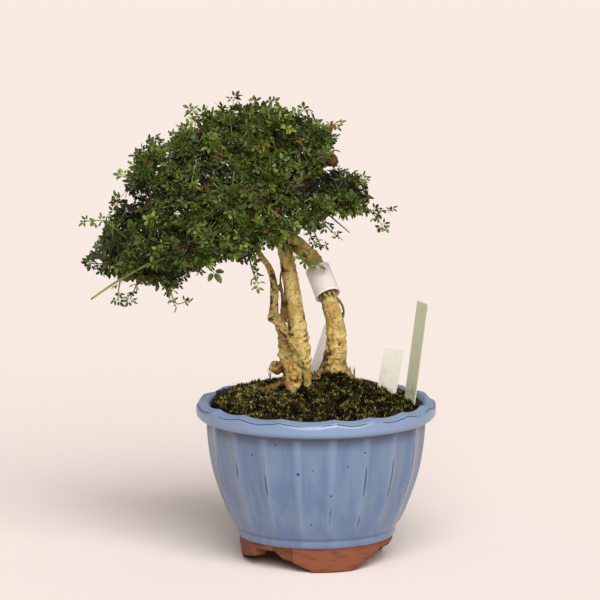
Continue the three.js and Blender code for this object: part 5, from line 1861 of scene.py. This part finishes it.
    def leaves_along(
        self, twig: Twig, size: tuple[float, float], tone: float, random: np.random.Generator
    ) -> LeafPlaces:
        """Pairs of leaves along the outer part of a twig and one at its tip.

        Each pair is turned a quarter from the last. A leaf leans outwards from the twig, and its
        upper side turns to the light above and outside.

        Args:
            twig: The twig.
            size: Smallest and largest leaflet in mm.
            tone: Middle of the leaves' tones.
            random: Draws sizes, turns and tones.

        Returns:
            The leaves' places.
        """
        tangents, first, second = carried_frames(twig.path)
        length = path_length(twig.path)
        start = max(length[-1] - twig.leafy, 2.0)
        at = np.arange(length[-1] - 2.0, start, -twig.spacing)[::-1]
        count = len(at)
        at = np.append(np.repeat(at, 2), length[-1])
        base, tangent, side, other = (
            np.stack([np.interp(at, length, rows[:, n]) for n in range(3)], 1)
            for rows in (twig.path, tangents, first, second)
        )
        turn = np.append(np.repeat(np.arange(count) * np.pi / 2, 2) + np.tile([0.0, np.pi], count), 0.0)
        turn = turn + random.uniform(0, np.pi) + random.normal(0.0, 0.35, len(at))
        out = np.cos(turn)[:, None] * side + np.sin(turn)[:, None] * other
        lean = np.append(np.full(2 * count, 1.0), 0.12)[:, None]
        axis = unit(0.7 * tangent + lean * out + 0.28 * random.standard_normal(out.shape))
        light = unit(base - np.array(self.light_middle)) * 0.5 + UP * 0.4 + np.array([0.0, -0.15, 0.0])
        normal = unit(light + 0.65 * random.standard_normal(out.shape))
        normal = unit(normal - axis * (normal * axis).sum(axis=1, keepdims=True))
        sizes = random.uniform(*size, len(at)) * np.linspace(1.0, 0.8, len(at))
        tones = np.clip(tone + 0.13 * random.standard_normal(len(at)), 0.0, 0.95)
        # Painted shade: leaves far under the crown's skin get darker tones.
        painted_shade_inside = smooth_step(0.92, 0.6, self.shape.depth(base + axis * sizes[:, None]))
        tones = tones * (1.0 - 0.75 * painted_shade_inside)
        withered = random.random(len(at)) < self.withered_share
        tones = np.where(withered, random.uniform(0.97, 1.0, len(at)), tones)
        places = LeafPlaces(base, axis, normal, sizes, tones)
        keep = random.random(len(at)) < self.kept_share
        keep[-1] = True
        return places.kept(keep)

    def build_spray(self, spray: Spray, others: Array, finishes: tuple) -> bpy.types.Object:
        """Builds and dresses one spray.

        Args:
            spray: The spray.
            others: All sprays' centres.
            finishes: The leaf's and the twig's materials.

        Returns:
            The spray's object.
        """
        random = np.random.default_rng(700 + spray.number)
        twigs = self.twigs(spray, others, random)
        tones = self.middle_tone + 0.1 * random.standard_normal(len(twigs))
        tones = np.where(random.random(len(twigs)) < self.young_share, tones + 0.25, tones)
        leaves = [self.leaves_along(twig, self.leaf_size, tone, random) for twig, tone in zip(twigs, tones)]
        inward = self.twigs(spray, others, random, inner=True)
        # Painted shade: leaves of the inward twigs take the spray's darkest tone.
        leaves += [self.leaves_along(twig, self.leaf_size, tones.min(), random) for twig in inward]
        tips = [part.base + part.axis * part.size[:, None] for part in leaves]
        leaves = [part.kept(~self.shape.in_bay(tip)) for part, tip in zip(leaves, tips)]
        name = f"leafy_spray_{spray.number + 1:02d}"
        twigs += inward
        greens = random.uniform(0.4, 1.05, len(twigs))
        stems = [(twig.path, self.twig_radius, green) for twig, green in zip(twigs, greens)]
        return self.leafy_object(name.replace("leafy", "jasmine"), stems, leaves, finishes, (name,), random)

    def leafy_object(
        self,
        name: str,
        stems: list[tuple[Array, float, float]],
        leaves: list[LeafPlaces],
        finishes: tuple,
        replaced: tuple[str, ...],
        random: np.random.Generator,
    ) -> bpy.types.Object:
        """Puts twigs and leaves into one object.

        Args:
            name: The object's name.
            stems: Points along each twig, its radius at the root in mm and its tip's tone.
            leaves: The leaves' places.
            finishes: The leaf's and the twig's materials.
            replaced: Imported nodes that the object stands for.
            random: Draws how the leaves are folded.

        Returns:
            The object.
        """
        columns = zip(*(made.columns() for made in leaves))
        places = LeafPlaces(*(np.concatenate(rows) for rows in columns))
        sheet = places.skin(self.leaf_shapes, random)
        rods = []
        for path, radius, green in stems:
            rod = grid_skin(tube_points(path, radius * np.linspace(1.0, 0.6, len(path)), 5))
            rod.corners = np.full((*rod.faces.shape, 2), 0.5)
            along = np.linalg.norm(rod.points - path[0], axis=1) / np.linalg.norm(path[-1] - path[0])
            rod.values["tone"] = np.clip(green * along**0.6, 0.0, 1.0)
            rods.append(rod)
        wood = joined(rods)
        whole = joined([sheet, wood]).to_object(name, self.placement)
        kinds = np.repeat(np.array([0, 1], np.int32), [len(sheet.faces), len(wood.faces)])
        whole.data.polygons.foreach_set("material_index", kinds)
        return settle(whole, Slot.LEAF, finishes, *replaced)

    def build_shoots(self, finishes: tuple) -> bpy.types.Object:
        """Builds and dresses the long shoots.

        Args:
            finishes: The leaf's and the twig's materials.

        Returns:
            The shoots' object.
        """
        random = np.random.default_rng(900)
        stems, leaves = [], []
        for shoot in self.shoots:
            path = smooth_curve(np.array(shoot.stem, float), 16)
            stems.append((path, shoot.radius, 1.0))
            if shoot.leaf > 0:
                size = (0.85 * shoot.leaf, 1.15 * shoot.leaf)
                twig = Twig(path, shoot.leafy * path_length(path)[-1], shoot.spacing)
                places = self.leaves_along(twig, size, shoot.tone, random)
                if shoot.flat:
                    facing = np.array([0.1, -1.0, 0.25]) + 0.15 * random.standard_normal(places.axis.shape)
                    facing = facing - places.axis * (facing * places.axis).sum(axis=1, keepdims=True)
                    places.normal = unit(facing)
                leaves.append(places)
        return self.leafy_object("long_shoots", stems, leaves, finishes, (), random)

    def build(self) -> None:
        """Builds the whole crown."""
        finishes = (JasmineLeaf().material(), GreenTwig().material())
        sprays = self.sprays()
        centres = np.array([spray.centre for spray in sprays])
        for spray in sprays:
            self.build_spray(spray, centres, finishes)
        self.build_shoots(finishes)


# Studio


@dataclass(frozen=True)
class Studio:
    """Pale ground, soft high sun in a dim pale room and a long-lens camera."""

    placement: Placement
    elevation: float = 10.05
    distance: float = 4500.0
    target: Point = (-14.0, 0.0, 229.3)
    focal_length: float = 309.76
    ground_size: float = 30000.0
    world_colour: str = "#fbf4f2"
    world_strength: float = 0.32
    sun_strength: float = 3.5
    sun_spread: float = 50.0
    sun_elevation: float = 40.0
    sun_azimuth: float = 12.0

    def camera(self) -> None:
        """Sets the camera on a line to the target, raised by the elevation."""
        lens = bpy.data.cameras.new("portrait_lens")
        lens.lens = self.focal_length
        lens.sensor_width = 36.0
        lens.clip_end = 60.0
        made = bpy.data.objects.new("camera", lens)
        angle = math.radians(self.elevation)
        away = np.array([0.0, -math.cos(angle), math.sin(angle)]) * self.distance
        made.location = self.placement.metres(np.array(self.target) + away)
        made.rotation_euler = (math.pi / 2 - angle, 0.0, 0.0)
        bpy.context.scene.collection.objects.link(made)
        bpy.context.scene.camera = made

    def lights(self) -> None:
        """Sets the dim pale world and a wide soft sun above the camera's right."""
        world = bpy.data.worlds.new("pale_room")
        world.use_nodes = True
        sky = world.node_tree.nodes["Background"]
        sky.inputs["Color"].default_value = linear(self.world_colour)
        sky.inputs["Strength"].default_value = self.world_strength
        bpy.context.scene.world = world
        lamp = bpy.data.lights.new("soft_sun", "SUN")
        lamp.energy = self.sun_strength
        lamp.angle = math.radians(self.sun_spread)
        made = bpy.data.objects.new("soft_sun", lamp)
        made.location = (0.0, 0.0, 2.0)
        made.rotation_euler = (math.radians(90.0 - self.sun_elevation), 0.0, math.radians(self.sun_azimuth))
        bpy.context.scene.collection.objects.link(made)

    def ground(self) -> None:
        """Lays the plain ground."""
        half = self.ground_size / 2
        corners = np.array([(-half, -half, 0.0), (half, -half, 0.0), (half, half, 0.0), (-half, half, 0.0)])
        sheet = Skin(corners, np.array([[0, 1, 2, 3]]))
        made = sheet.to_object("studio_ground", self.placement, smooth=False)
        made.data.materials.append(PalePaper().material())

    def build(self) -> None:
        """Builds the studio."""
        bpy.context.scene.view_settings.view_transform = "Standard"
        self.camera()
        self.lights()
        self.ground()


def dress_kept_nodes() -> None:
    """Gives the packed soil and drainage net, which stay as they are, their finishes."""
    net = MouldedPlastic("black_net_plastic", "#1f1f1f", "#4a4036", 0.5, 30.0)
    for node, finish, slot in (("soil", GranularSoil(), Slot.SOIL), ("drainage_mesh", net, Slot.NET)):
        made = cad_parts[node]
        made.data.materials.clear()
        made.data.materials.append(finish.material())
        log.info("%s keeps its packed shape", node)


def labels(placement: Placement) -> list[Label]:
    """Returns the three plant labels.

    Args:
        placement: Where the pot's frame lies.

    Returns:
        The labels, ready to build.
    """
    green = MouldedPlastic("pale_green_label_plastic", "#d2d2b2", "#98967a", 0.42)
    white = MouldedPlastic("white_label_plastic", "#dcd5c8", "#9d917f", 0.38)
    # The rear label's plastic glows faintly: painted light.
    thin = MouldedPlastic("glowing_white_label_plastic", "#ece4dd", "#a99d8b", 0.38, painted_glow=0.24)
    return [
        Label(placement, "label_green", (81.5, -8.0, 139.0), 22.0, 90.0, 59.0, 6.0, 1.5, Slot.GREEN, green),
        Label(placement, "label_white_front", (62, 13, 146), 24, 38, 4, 10, 0, Slot.WHITE, white),
        Label(placement, "label_white_rear", (-4.6, 35, 151.8), 22, 57, -57, 19, 0, Slot.WHITE, thin),
    ]


def main() -> None:
    """Builds every piece in order, from the pot up to the crown."""
    logging.basicConfig(level=logging.INFO, format="%(name)s: %(message)s")
    placement = Placement.of_pot()
    mound = Mound()
    Studio(placement).build()
    Pot(placement).build()
    dress_kept_nodes()
    MossCarpet(placement, mound).build()
    Wood(placement, mound).build()
    Collar(placement).build()
    for label in labels(placement):
        label.build()
    Cake(placement).build()
    Crown(placement).build()


if __name__ == "__main__":
    main()
